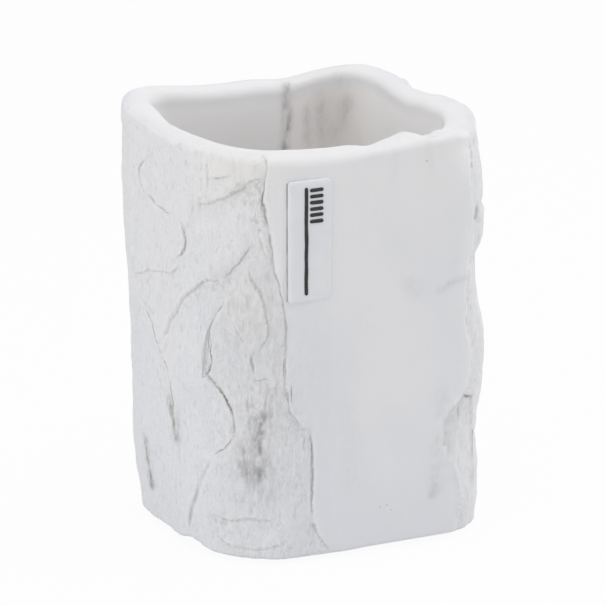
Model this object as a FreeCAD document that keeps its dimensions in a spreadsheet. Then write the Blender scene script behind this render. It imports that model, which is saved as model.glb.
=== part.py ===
import FreeCAD, Part
import math
import os
import Sketcher

# Bathroom tumbler: a cast resin cup, rounded and four-sided in plan, with a wavy rim and cracked bark
# on its left side, a thin plaque on its smooth front face and stick-on feet below its base.
# Lengths are in millimetres, turns in degrees. The floor is at Z = 0 and the front looks along -Y.

SIZES = {
    # stick-on feet and the adhesive discs above them
    "foot_diameter": 9.0,
    "foot_pad_height": 1.0,
    "foot_pad_round": 0.3,
    "foot_film": 0.2,
    "foot_film_margin": 0.3,
    "foot_inset": 15.0,
    # the cup's overall size, its height taken to the lowest point of the rim
    "body_width": 75.0,
    "body_depth": 61.0,
    "body_height": 98.0,
    # heights above the base of the cup where its outline is set
    "low_height": 18.0,
    "mid_height": 50.0,
    "shoulder_drop": 10.0,
    "rim_headroom": 6.0,
    "floor_thickness": 7.0,
    # how far each side turns away from square in plan
    "right_turn": 2.0,
    "back_turn": 4.0,
    "left_turn": 7.0,
    # corners in plan, the front right one wider at the rim, wall and rounded edges
    "corner_front_right": 12.0,
    "corner_front_right_top": 20.0,
    "corner_back_right": 14.0,
    "corner_back_left": 16.0,
    "corner_front_left": 24.0,
    "wall": 6.5,
    "rim_outer_round": 3.0,
    "rim_inner_round": 1.5,
    "base_round": 1.2,
    "floor_round": 4.0,
    # rise of the rim above the body height, by the hours of a clock seen from above, six at the front
    "rim_rise_half_past_twelve": 2.1,
    "rim_rise_one": 2.9,
    "rim_rise_half_past_one": 3.4,
    "rim_rise_two": 1.6,
    "rim_rise_half_past_two": 1.0,
    "rim_rise_three": 2.0,
    "rim_rise_half_past_three": 2.9,
    "rim_rise_four": 2.5,
    "rim_rise_five": 1.2,
    "rim_rise_six": 0.4,
    "rim_rise_seven": 1.0,
    "rim_rise_eight": 2.1,
    "rim_rise_nine": 3.0,
    "rim_rise_ten": 4.8,
    "rim_rise_eleven": 3.1,
    "rim_rise_twelve": 2.6,
    # cracks and split-off plates of the bark, laid out in a view turned from the front to the left,
    # and cracks alone in a view from behind
    "bark_turn": 23.0,
    "bark_back_turn": 205.0,
    "crack_width": 1.3,
    "crack_depth": 0.9,
    "plate_depth": 0.6,
    # plaque in its seat, with the adhesive film behind it
    "plaque_width": 10.6,
    "plaque_height": 28.9,
    "plaque_thickness": 0.9,
    "plaque_corner": 0.8,
    "plaque_edge_round": 0.25,
    "plaque_left_of_middle": 9.8,
    "plaque_below_rim": 5.0,
    "plaque_film": 0.15,
    "plaque_film_margin": 0.5,
    "seat_depth": 0.6,
    "seat_clearance": 0.15,
    # raised strokes on the plaque
    "stroke_width": 0.9,
    "stroke_rise": 0.3,
    # tools that cut run past the solid by this much
    "overrun": 2.0,
}

SIDES = ("front", "right", "back", "left")
SIDE_FACING = {"front": -90.0, "right": 0.0, "back": 90.0, "left": 180.0}
# distance of each side from the middle at the base, low down, halfway, at the shoulder and at the top,
# as shares of the overall size that it follows
LEVELS = ("base", "low", "mid", "shoulder", "top")
SIDE_SHARES = {
    "front": ("body_depth", (0.502, 0.508, 0.508, 0.504, 0.502)),
    "right": ("body_width", (0.497, 0.503, 0.503, 0.499, 0.496)),
    "back": ("body_depth", (0.482, 0.492, 0.492, 0.485, 0.482)),
    "left": ("body_width", (0.449, 0.469, 0.479, 0.490, 0.495)),
}
CORNERS = ("corner_front_right", "corner_back_right", "corner_back_left", "corner_front_left")
TOP_CORNERS = ("corner_front_right_top", "corner_back_right", "corner_back_left", "corner_front_left")
# turn of each point of the clock's face, counted from three towards twelve
HOUR_TURNS = {
    "three": 0.0, "half_past_two": 15.0, "two": 30.0, "half_past_one": 45.0, "one": 60.0,
    "half_past_twelve": 75.0, "twelve": 90.0, "eleven": 120.0, "ten": 150.0, "nine": 180.0,
    "eight": 210.0, "seven": 240.0, "six": 270.0, "five": 300.0, "four": 330.0, "half_past_three": 345.0,
}

# left end and width of the view that the cracks are laid out in, as shares of the body width
BARK_LEFT_SHARE = 0.545
BARK_WIDTH_SHARE = 1.133
# points along each crack: share of that view's width from the left, share of the body height from the base
CRACK_SHARES = {
    "seam": (
        (0.395, 0.97), (0.387, 0.945), (0.40, 0.89), (0.42, 0.80), (0.435, 0.72), (0.453, 0.665),
        (0.456, 0.60), (0.453, 0.485), (0.465, 0.41), (0.49, 0.355), (0.525, 0.32), (0.53, 0.25),
        (0.53, 0.145), (0.54, 0.04),
    ),
    "long_bend": (
        (0.278, 0.655), (0.247, 0.59), (0.233, 0.505), (0.231, 0.45), (0.26, 0.41), (0.297, 0.36),
        (0.305, 0.30), (0.256, 0.25), (0.22, 0.18), (0.20, 0.10), (0.186, 0.03),
    ),
    "slant": (
        (0.36, 0.805), (0.31, 0.735), (0.242, 0.69), (0.192, 0.637), (0.15, 0.583), (0.136, 0.54),
        (0.115, 0.495),
    ),
    "left_run": ((0.06, 0.58), (0.094, 0.53), (0.122, 0.465), (0.147, 0.375), (0.144, 0.245)),
    "hook": (
        (0.06, 0.94), (0.056, 0.905), (0.067, 0.872), (0.136, 0.845), (0.17, 0.83), (0.185, 0.79),
        (0.176, 0.752), (0.14, 0.73),
    ),
}

# corners of each lower-lying plate, in the same shares
PLATE_SHARES = {
    "below_ledge": (
        (0.364, 0.943), (0.289, 0.907), (0.24, 0.887), (0.202, 0.883), (0.196, 0.842), (0.237, 0.831),
        (0.293, 0.845), (0.347, 0.875),
    ),
    "beside_bend": (
        (0.33, 0.75), (0.281, 0.707), (0.238, 0.701), (0.193, 0.66), (0.153, 0.597), (0.129, 0.546),
        (0.163, 0.511), (0.214, 0.52), (0.248, 0.591), (0.284, 0.66), (0.33, 0.701),
    ),
    "low_left": (
        (0.154, 0.278), (0.15, 0.384), (0.19, 0.413), (0.257, 0.443), (0.3, 0.378), (0.305, 0.323),
        (0.25, 0.27), (0.21, 0.174), (0.17, 0.182),
    ),
    "low_right": (
        (0.972, 0.336), (0.944, 0.353), (0.902, 0.318), (0.886, 0.276), (0.895, 0.223), (0.922, 0.177),
        (0.947, 0.081), (0.983, 0.112), (0.983, 0.243),
    ),
}

# strokes of the motif, a plain toothbrush: middle across and up from the plaque's middle, and length,
# as shares of the plaque's width, height and height; the bristles repeat upwards
HANDLE_SHARES = (-0.10, 0.0, 0.86)
BRISTLE_SHARES = (0.14, 0.16, 0.085)
BRISTLE_STEP_SHARE = 0.052
BRISTLES = 6

# edges this near to a level lie on it
CLOSE = 1e-6


def reach(side, level):
    """Expression for the distance of a side from the middle at a level."""
    overall, shares = SIDE_SHARES[side]
    return f"{shares[LEVELS.index(level)]} * dims.{overall}"


BASE = "dims.foot_pad_height + dims.foot_film"
TOP = f"{BASE} + dims.body_height + dims.rim_headroom"
LEVEL_HEIGHTS = {
    "base": BASE,
    "low": f"{BASE} + dims.low_height",
    "mid": f"{BASE} + dims.mid_height",
    "shoulder": f"{BASE} + dims.body_height - dims.shoulder_drop",
    "top": TOP,
}
SEAT = f"{reach('front', 'mid')} - dims.seat_depth"
PLAQUE_BACK = f"{SEAT} + dims.plaque_film"
PLAQUE_FACE = f"{PLAQUE_BACK} + dims.plaque_thickness"
PLAQUE_MIDDLE = f"{BASE} + dims.body_height - dims.plaque_below_rim - dims.plaque_height / 2"

doc = FreeCAD.newDocument("tumbler")
sheet = doc.addObject("Spreadsheet::Sheet", "dims")
for row, (alias, value) in enumerate(SIZES.items(), start=1):
    sheet.set(f"A{row}", alias)
    sheet.set(f"B{row}", str(value))
    sheet.setAlias(f"B{row}", alias)
doc.recompute()


def size(alias):
    return float(sheet.get(alias))


def new_sketch(body, name, role, offset):
    plane = next(feature for feature in body.Origin.OriginFeatures if feature.Role == role)
    sketch = body.newObject("Sketcher::SketchObject", name)
    sketch.AttachmentSupport = [(plane, "")]
    sketch.MapMode = "FlatFace"
    sketch.setExpression(".AttachmentOffset.Base.z", offset)
    return sketch


def bind(sketch, name, expression, kind, *where):
    """Add a named constraint whose value follows the sheet."""
    index = sketch.addConstraint(Sketcher.Constraint(kind, *where))
    sketch.renameConstraint(index, name)
    sketch.setExpression(f"Constraints.{name}", expression)


def reach_size(side, level):
    overall, shares = SIDE_SHARES[side]
    return shares[LEVELS.index(level)] * size(overall)


def facing(side):
    turn = 0.0 if side == "front" else size(f"{side}_turn")
    return math.radians(SIDE_FACING[side] + turn)


def along(angle, length):
    return FreeCAD.Vector(length * math.cos(angle), length * math.sin(angle), 0)


def meet(angle_a, reach_a, angle_b, reach_b):
    """Point where two side lines cross, each given by its facing and its distance from the middle."""
    turn = math.sin(angle_b - angle_a)
    x = (reach_a * math.sin(angle_b) - reach_b * math.sin(angle_a)) / turn
    y = (reach_b * math.cos(angle_a) - reach_a * math.cos(angle_b)) / turn
    return FreeCAD.Vector(x, y, 0)


def draw_rounded(sketch, angles, reaches, radii):
    """Lines and tangent arcs of a rounded outline: line 2i faces angle i, arc 2i + 1 ends it."""
    count = len(angles)
    centres = []
    for i in range(count):
        j = (i + 1) % count
        centres.append(meet(angles[i], reaches[i] - radii[i], angles[j], reaches[j] - radii[i]))
    for i in range(count):
        j = (i + 1) % count
        start = centres[i - 1] + along(angles[i], radii[i - 1])
        end = centres[i] + along(angles[i], radii[i])
        sketch.addGeometry(Part.LineSegment(start, end))
        circle = Part.Circle(centres[i], FreeCAD.Vector(0, 0, 1), radii[i])
        stop = angles[j] if angles[j] > angles[i] else angles[j] + math.tau
        sketch.addGeometry(Part.ArcOfCircle(circle, angles[i], stop))
    for i in range(count):
        line, arc, following = 2 * i, 2 * i + 1, (2 * i + 2) % (2 * count)
        sketch.addConstraint(Sketcher.Constraint("Tangent", line, 2, arc, 1))
        sketch.addConstraint(Sketcher.Constraint("Tangent", arc, 2, following, 1))


def section(body, name, level, height, inset=None):
    """Rounded four-sided outline at a height, drawn inwards by the inset if one is named."""
    sketch = new_sketch(body, name, "XY_Plane", height)
    less = f" - dims.{inset}" if inset else ""
    shift = size(inset) if inset else 0.0
    angles = [facing(side) for side in SIDES]
    reaches = [reach_size(side, level) - shift for side in SIDES]
    corners = TOP_CORNERS if level == "top" else CORNERS
    radii = [size(corner) - shift for corner in corners]
    draw_rounded(sketch, angles, reaches, radii)
    for i, side in enumerate(SIDES):
        line, arc = 2 * i, 2 * i + 1
        bind(sketch, f"{side}_reach", reach(side, level) + less, "Distance", -1, 1, line, reaches[i])
        bind(sketch, corners[i], f"dims.{corners[i]}{less}", "Radius", arc, radii[i])
        if side == "front":
            sketch.addConstraint(Sketcher.Constraint("Horizontal", line))
            continue
        square = SIDE_FACING[side] + 90.0
        square = square - 360.0 if square > 180.0 else square
        turn = math.radians(square + size(f"{side}_turn"))
        bind(sketch, f"{side}_turn", f"({square:.0f} + dims.{side}_turn) * 1 deg", "Angle", line, turn)
    return sketch


def column_sections(body, name, inset=None):
    """Outlines of the column from the base to the top."""
    return [section(body, f"{name}_{level}", level, height, inset) for level, height in LEVEL_HEIGHTS.items()]


def loft(body, kind, name, sections):
    feature = body.newObject(kind, name)
    feature.Profile = sections[0]
    feature.Sections = sections[1:]
    feature.Ruled = True
    doc.recompute()


def cut_with(body, name, shape):
    """Cut a shape that no sketch can draw out of a body."""
    tool = doc.addObject("Part::Feature", f"{name}_tool")
    tool.Shape = shape
    holder = doc.addObject("PartDesign::Body", f"{name}_holder")
    holder.BaseFeature = tool
    doc.recompute()
    cut = body.newObject("PartDesign::Boolean", name)
    cut.Type = "Cut"
    cut.setObjects([holder])
    doc.recompute()


def rim_ring():
    """Ring above the wavy rim: what lies in it is cut away."""
    level = size("foot_pad_height") + size("foot_film") + size("body_height")
    rises = [size(f"rim_rise_{hour}") for hour in HOUR_TURNS]
    turns = [math.radians(turn) for turn in HOUR_TURNS.values()]
    rings = []
    for radius in (size("wall"), size("body_width")):
        points = []
        for turn, rise in zip(turns, rises):
            spot = along(turn, radius)
            points.append(FreeCAD.Vector(spot.x, spot.y, level + rise))
        curve = Part.BSplineCurve()
        curve.interpolate(Points=points, PeriodicFlag=True, Parameters=turns + [math.tau])
        rings.append(curve.toShape())
    height = size("rim_headroom") + max(rises) + size("overrun")
    return Part.makeRuledSurface(*rings).extrude(FreeCAD.Vector(0, 0, height))


def bark_places(shares):
    """Places in the turned view, from its shares: across from the middle, and up from the base."""
    places = []
    for across, up in shares:
        from_middle = (across * BARK_WIDTH_SHARE - BARK_LEFT_SHARE) * size("body_width")
        places.append((from_middle, up * size("body_height")))
    return places


def bark_prism(ring, turn_name):
    """Outline standing in a turned view, drawn out towards the viewer."""
    turn = math.radians(size(turn_name))
    base = size("foot_pad_height") + size("foot_film")
    corners = []
    for across, up in ring + ring[:1]:
        corners.append(FreeCAD.Vector(across * math.cos(turn), -across * math.sin(turn), base + up))
    depth = along(-math.pi / 2 - turn, size("body_width"))
    return Part.Face(Part.makePolygon(corners)).extrude(depth)


def crack_strip(shares, turn_name):
    """Band along one crack, tapering to a point at both ends."""
    points = bark_places(shares)
    upper, lower = [], []
    for i in range(1, len(points) - 1):
        run = points[i + 1][0] - points[i - 1][0]
        climb = points[i + 1][1] - points[i - 1][1]
        half = size("crack_width") / 2 / math.hypot(run, climb)
        upper.append((points[i][0] - climb * half, points[i][1] + run * half))
        lower.append((points[i][0] + climb * half, points[i][1] - run * half))
    return bark_prism([points[0]] + upper + [points[-1]] + lower[::-1], turn_name)


def core_shape(name, inset):
    """The column without its outermost layer, as thick as the inset."""
    body = doc.addObject("PartDesign::Body", name)
    outlines = column_sections(body, name, inset)
    loft(body, "PartDesign::AdditiveLoft", f"{name}_column", outlines)
    return body.Shape


def rim_edges(shape, outline, outer):
    """Names of the rim's outer or inner edges, told apart by their distance from the outline."""
    level = size("foot_pad_height") + size("foot_film") + size("body_height")
    rim_face = max((face for face in shape.Faces if face.CenterOfMass.z > level), key=lambda face: face.Area)
    height = outline.BoundBox.ZMax
    names = []
    for number, edge in enumerate(shape.Edges, start=1):
        beside = shape.ancestorsOfType(edge, Part.Face)
        if len(beside) < 2 or not any(face.isSame(rim_face) for face in beside):
            continue
        middle = edge.valueAt((edge.FirstParameter + edge.LastParameter) / 2)
        away = outline.distToShape(Part.Vertex(middle.x, middle.y, height))[0]
        if (away < size("wall") / 2) == outer:
            names.append(f"Edge{number}")
    return names


def edges_in_plane(shape, axis, level):
    """Names of the edges that lie wholly at one level of an axis."""
    names = []
    for number, edge in enumerate(shape.Edges, start=1):
        spots = [edge.valueAt(edge.FirstParameter), edge.CenterOfMass, edge.valueAt(edge.LastParameter)]
        if all(abs(getattr(spot, axis) - level) < CLOSE for spot in spots):
            names.append(f"Edge{number}")
    return names


def fillet(body, name, edges, radius):
    feature = body.newObject("PartDesign::Fillet", name)
    feature.Base = (body.Group[-2], edges)
    feature.setExpression("Radius", f"dims.{radius}")
    doc.recompute()


def plate_sketch(body, name, offset, grow):
    """Rounded rectangle of the plaque, larger by what is added to each edge."""
    sketch = new_sketch(body, name, "XZ_Plane", offset)
    angles = [math.radians(SIDE_FACING[side]) for side in SIDES]
    width, height, corner = size("plaque_width"), size("plaque_height"), size("plaque_corner")
    draw_rounded(sketch, angles, [height / 2, width / 2, height / 2, width / 2], [corner] * len(SIDES))
    bottom, right, top, left = 0, 2, 4, 6
    for line, kind in ((bottom, "Horizontal"), (top, "Horizontal"), (right, "Vertical"), (left, "Vertical")):
        sketch.addConstraint(Sketcher.Constraint(kind, line))
    for arc in (1, 3, 5):
        sketch.addConstraint(Sketcher.Constraint("Equal", arc, 7))
    bind(sketch, "corner", "dims.plaque_corner", "Radius", 7, corner)
    middle_left, middle_up = "dims.plaque_left_of_middle", PLAQUE_MIDDLE
    half_wide, half_high = f"dims.plaque_width / 2 {grow}", f"dims.plaque_height / 2 {grow}"
    bind(sketch, "left_edge", f"-({middle_left}) - ({half_wide})", "DistanceX", -1, 1, left, 1, -width)
    bind(sketch, "right_edge", f"-({middle_left}) + ({half_wide})", "DistanceX", -1, 1, right, 1, width)
    bind(sketch, "bottom_edge", f"{middle_up} - ({half_high})", "DistanceY", -1, 1, bottom, 1, height)
    bind(sketch, "top_edge", f"{middle_up} + ({half_high})", "DistanceY", -1, 1, top, 1, height * 2)
    return sketch


def pad(body, kind, name, sketch, length):
    feature = body.newObject(kind, name)
    feature.Profile = sketch
    feature.setExpression("Length", length)
    feature.Reversed = kind == "PartDesign::Pocket"
    doc.recompute()


def stroke(sketch, tag, across, up, length, upright):
    """Round-ended stroke on the plaque, placed and sized by shares of the plaque."""
    kind = "Vertical" if upright else "Horizontal"
    heading = math.pi / 2 if upright else 0.0
    radius = size("stroke_width") / 2
    half_way = along(heading, length * size("plaque_height") / 2)
    beside = along(heading - math.pi / 2, radius)
    middle = FreeCAD.Vector(across * size("plaque_width"), up * size("plaque_height"), 0)
    upward = FreeCAD.Vector(0, 0, 1)
    first = sketch.addGeometry(Part.LineSegment(middle - half_way + beside, middle + half_way + beside))
    end = Part.Circle(middle + half_way, upward, radius)
    end = sketch.addGeometry(Part.ArcOfCircle(end, heading - math.pi / 2, heading + math.pi / 2))
    second = sketch.addGeometry(Part.LineSegment(middle + half_way - beside, middle - half_way - beside))
    start = Part.Circle(middle - half_way, upward, radius)
    start = sketch.addGeometry(Part.ArcOfCircle(start, heading + math.pi / 2, heading + math.pi * 3 / 2))
    for one, other in ((first, end), (end, second), (second, start), (start, first)):
        sketch.addConstraint(Sketcher.Constraint("Tangent", one, 2, other, 1))
    sketch.addConstraint(Sketcher.Constraint("Equal", start, end))
    sketch.addConstraint(Sketcher.Constraint(kind, first))
    bind(sketch, f"{tag}_round", "dims.stroke_width / 2", "Radius", start, radius)
    centre_x = f"{across} * dims.plaque_width - dims.plaque_left_of_middle"
    centre_y = f"{PLAQUE_MIDDLE} + {up} * dims.plaque_height"
    half = f"{length} * dims.plaque_height / 2"
    start_x, start_y = (centre_x, f"{centre_y} - {half}") if upright else (f"{centre_x} - {half}", centre_y)
    long_way = "DistanceY" if upright else "DistanceX"
    span = length * size("plaque_height")
    bind(sketch, f"{tag}_x", start_x, "DistanceX", -1, 1, start, 3, middle.x)
    bind(sketch, f"{tag}_y", start_y, "DistanceY", -1, 1, start, 3, middle.y)
    bind(sketch, f"{tag}_length", f"{length} * dims.plaque_height", long_way, start, 3, end, 3, span)


def disc(label, spot, offset, diameter, height):
    """Round pad below the base, at a spot given by its distances from the middle."""
    body = doc.addObject("PartDesign::Body", label)
    sketch = new_sketch(body, f"{label}_outline", "XY_Plane", offset)
    circle = sketch.addGeometry(Part.Circle(FreeCAD.Vector(), FreeCAD.Vector(0, 0, 1), size("foot_diameter")))
    bind(sketch, "across", diameter, "Diameter", circle, size("foot_diameter"))
    bind(sketch, "x", spot[0], "DistanceX", -1, 1, circle, 3, size("foot_inset"))
    bind(sketch, "y", spot[1], "DistanceY", -1, 1, circle, 3, size("foot_inset"))
    pad(body, "PartDesign::Pad", f"{label}_pad", sketch, height)
    return body


# The cup
cup = doc.addObject("PartDesign::Body", "tumbler_body")
outlines = column_sections(cup, "outline")
outline_top = outlines[-1]
loft(cup, "PartDesign::AdditiveLoft", "column", outlines)
cut_with(cup, "rim", rim_ring())
hollows = [
    section(cup, "hollow_floor", "base", f"{BASE} + dims.floor_thickness", "wall"),
    section(cup, "hollow_mid", "mid", LEVEL_HEIGHTS["mid"], "wall"),
    section(cup, "hollow_top", "top", f"{TOP} + dims.overrun", "wall"),
]
loft(cup, "PartDesign::SubtractiveLoft", "hollow", hollows)

# rounded edges of the rim, the base and the floor of the hollow
base_level = size("foot_pad_height") + size("foot_film")
fillet(cup, "rim_outer_edge", rim_edges(cup.Shape, outline_top.Shape, True), "rim_outer_round")
fillet(cup, "rim_inner_edge", rim_edges(cup.Shape, outline_top.Shape, False), "rim_inner_round")
fillet(cup, "base_edge", edges_in_plane(cup.Shape, "z", base_level), "base_round")
fillet(cup, "floor_edge", edges_in_plane(cup.Shape, "z", base_level + size("floor_thickness")), "floor_round")

# flat seat for the plaque
seat = plate_sketch(cup, "seat_outline", SEAT, "+ dims.seat_clearance")
pad(cup, "PartDesign::Pocket", "seat", seat, "dims.seat_depth + dims.overrun")

# cracks and plates of the bark: as deep as the space outside a slightly smaller column
strips = []
for view in ("bark_turn", "bark_back_turn"):
    strips += [crack_strip(shares, view) for shares in CRACK_SHARES.values()]
cut_with(cup, "cracks", strips[0].fuse(strips[1:]).cut(core_shape("crack_core", "crack_depth")))
plates = [bark_prism(bark_places(shares), "bark_turn") for shares in PLATE_SHARES.values()]
cut_with(cup, "plates", plates[0].fuse(plates[1:]).cut(core_shape("plate_core", "plate_depth")))

# The plaque, the adhesive film behind it and the raised strokes on it
film = doc.addObject("PartDesign::Body", "label_adhesive")
film_outline = plate_sketch(film, "film_outline", SEAT, "- dims.plaque_film_margin")
pad(film, "PartDesign::Pad", "film", film_outline, "dims.plaque_film")

plaque = doc.addObject("PartDesign::Body", "label_plaque")
plaque_outline = plate_sketch(plaque, "plaque_outline", PLAQUE_BACK, "")
pad(plaque, "PartDesign::Pad", "plaque", plaque_outline, "dims.plaque_thickness")
front_edges = edges_in_plane(plaque.Shape, "y", plaque.Shape.BoundBox.YMin)
fillet(plaque, "plaque_edge", front_edges, "plaque_edge_round")

motif = doc.addObject("PartDesign::Body", "label_motif")
strokes = new_sketch(motif, "strokes", "XZ_Plane", PLAQUE_FACE)
stroke(strokes, "handle", *HANDLE_SHARES, True)
for count in range(BRISTLES):
    across, up, length = BRISTLE_SHARES
    stroke(strokes, f"bristle_{count}", across, up + count * BRISTLE_STEP_SHARE, length, False)
pad(motif, "PartDesign::Pad", "motif", strokes, "dims.stroke_rise")

# The feet, each with its adhesive disc between it and the base
feet = []
FOOT_X = {
    "left": f"dims.foot_inset - {reach('left', 'base')}",
    "right": f"{reach('right', 'base')} - dims.foot_inset",
}
FOOT_Y = {
    "front": f"dims.foot_inset - {reach('front', 'base')}",
    "back": f"{reach('back', 'base')} - dims.foot_inset",
}
for depth, y in FOOT_Y.items():
    for side, x in FOOT_X.items():
        foot = disc(f"foot_{depth}_{side}", (x, y), "0 mm", "dims.foot_diameter", "dims.foot_pad_height")
        fillet(foot, f"foot_edge_{depth}_{side}", edges_in_plane(foot.Shape, "z", 0.0), "foot_pad_round")
        film_across = "dims.foot_diameter - 2 * dims.foot_film_margin"
        film_label = f"foot_adhesive_{depth}_{side}"
        feet += [foot, disc(film_label, (x, y), "dims.foot_pad_height", film_across, "dims.foot_film")]

doc.recompute()
for item in doc.Objects:
    if "Invalid" in item.State or "Error" in item.State:
        raise RuntimeError(f"{item.Label}: {item.State}")
os.makedirs("parts", exist_ok=True)
for body in [cup, film, plaque, motif] + feet:
    if body.Shape.isNull() or not body.Shape.isValid():
        raise RuntimeError(f"{body.Label} has no valid shape")
    body.Shape.exportStep(f"parts/{body.Label}.step")
    print(body.Label, len(body.Shape.Solids), round(body.Shape.Volume, 2))
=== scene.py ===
import math
from collections import namedtuple

import bpy
import numpy as np
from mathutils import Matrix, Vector, noise
from mathutils.bvhtree import BVHTree


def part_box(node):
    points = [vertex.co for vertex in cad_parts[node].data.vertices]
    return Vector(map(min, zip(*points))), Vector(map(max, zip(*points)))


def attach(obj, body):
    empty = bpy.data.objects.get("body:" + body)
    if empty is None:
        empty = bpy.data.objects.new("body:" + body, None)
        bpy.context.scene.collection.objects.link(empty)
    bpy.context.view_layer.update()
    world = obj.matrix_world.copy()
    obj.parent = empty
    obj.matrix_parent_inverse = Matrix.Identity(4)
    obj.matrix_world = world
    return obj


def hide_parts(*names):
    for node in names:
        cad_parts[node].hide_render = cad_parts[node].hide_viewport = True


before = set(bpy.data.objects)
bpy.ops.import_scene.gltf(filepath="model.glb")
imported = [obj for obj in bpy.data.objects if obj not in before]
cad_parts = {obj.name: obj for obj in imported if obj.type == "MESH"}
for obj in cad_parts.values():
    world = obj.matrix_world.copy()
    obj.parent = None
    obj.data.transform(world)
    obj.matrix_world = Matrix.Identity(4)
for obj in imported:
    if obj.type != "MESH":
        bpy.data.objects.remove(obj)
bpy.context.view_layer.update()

# Bathroom tumbler: a cast resin cup with split bark round most of its wall, a smooth front face,
# a wavy rim, and a thin plaque with raised black strokes.
# Lengths are in millimetres, and become metres when a mesh, lamp or camera is made.
MM = 0.001

# Camera. Pixels are those of the photograph, counted from its upper left corner.
PHOTO_SIDE = 605
CAMERA_AZIMUTH = math.radians(-23.0)
CAMERA_ELEVATION = math.radians(19.0)
CAMERA_DISTANCE = 800.0
CAMERA_TARGET = np.array((1.93, 0.95, 53.2))
CAMERA_LENS = 198.5
CAMERA_SENSOR = 36.0
FOCAL_LENGTH = CAMERA_LENS / CAMERA_SENSOR * PHOTO_SIDE

# Cup. The sheet is its wall unrolled: across runs left to right round the wall, from a line at
# the back.
SHEET_START = math.radians(60.0)
SHEET_LEVEL = 50.0
SHEET_STEPS = 1440
SPACING_STEPS = 4000
OUTSIDE = 90.0
ABOVE = 127.5
REACH = 150.0
BASE_ROUND = 1.2
# how far the rim is rounded towards the inside, by angle
RIM_INNER_ROUNDS = (
    (60, 2.2), (85, 2.6), (180, 2.6), (195, 1.5), (215, 1.3), (318, 1.3), (340, 1.8), (365, 2.2),
    (420, 2.2),
)
# how far the rim's outer edge is rounded downwards, by angle, and how much wider the round is
RIM_ROUNDS = (
    (60, 1.3), (215, 1.5), (248, 2.7), (268, 2.4), (290, 1.9), (316, 1.9), (335, 1.8), (348, 1.3),
    (420, 1.3),
)
RIM_ROUND_WIDTH_SHARE = 1.4
# least share of the wall between the two rounds
RIM_FLAT_SHARE = 0.04
# how far the rim's outer edge stands above its inner one, by angle
RIM_TILTS = (
    (60, 0.0), (90, 0.2), (112, 0.4), (130, 1.0), (146, 1.4), (165, 0.6), (185, 0.0), (318, 0.0),
    (336, 1.3), (348, 1.5), (362, 0.9), (372, 0.6), (382, 0.0), (420, 0.0),
)
FLOOR_ROUND = 4.0
# the wall meets the plaque inside its outline, but for a gap along its left-hand side
SEAT_GAP = 0.3
SEAT_INSET = 0.3
# column spacing by angle, counted from the right-hand side towards the back
COLUMN_SPACING = (
    (60, 1.4), (138, 1.4), (156, 0.32), (256, 0.32), (262, 1.3), (306, 1.3), (316, 0.45), (346, 0.45),
    (362, 1.2), (420, 1.4),
)
ROW_SPACING = 0.5
EDGE_SPACING = 0.2
EDGE_BAND = 0.4
RIM_ROWS = 10
ROUND_ROWS = 5
INNER_UPPER_ROWS = 12
INNER_LOWER_ROWS = 6
INNER_UPPER_DEPTH = 32.0
DISC_SHARES = (0.8, 0.5, 0.2)
# grid steps over which the solid's narrow grooves are filled: more of them beside the plaque, where
# the columns are closer together
GROOVE_STEPS = 3
SEAM_STEPS = 5
SEAM_REACH = 1.3
SMOOTH_STEPS = 4
RIM_FOLLOW = 20.0

# Cracks and ledges of the bark, as points in the photograph from the upper end to the lower one, or from
# right to left where it runs level. Left and right lift raise the surface on that side of the line,
# or above and below it, and fade out over the reach.
# the crack's stain sets how dark its line and the band beside it are painted: partly painted shade in
# the crack, partly its stain
Crack = namedtuple("Crack", "width depth left right reach stain points")
SEAM = (
    Crack(0.5, 0.4, -0.2, 0.15, 4.0, 0.5, (
        (271, 155), (267, 166), (264, 178), (263, 194), (264, 208), (267, 220), (270, 231))),
    Crack(0.4, 0.25, -0.15, 0.1, 4.0, 0.4, (
        (268, 226), (270, 232), (272, 248), (273, 260), (275, 272), (279, 290), (284, 304), (286, 316))),
    Crack(0.35, 0.15, -0.05, 0.0, 4.0, 0.25, (
        (285, 306), (286, 318), (287, 340), (286, 370), (285, 388))),
    Crack(0.5, 0.15, -0.15, 0.15, 4.0, 0.05, (
        (286, 376), (285, 386), (290, 412), (302, 428), (311, 432))),
    Crack(0.4, 0.25, -0.12, 0.1, 4.0, 0.35, (
        (308, 427), (312, 440), (312, 452), (313, 474), (312, 498), (313, 524))),
    Crack(0.7, 0.35, -0.15, 0.15, 4.0, 0.35, ((312, 514), (315, 530), (322, 542), (331, 551))),
)
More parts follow.
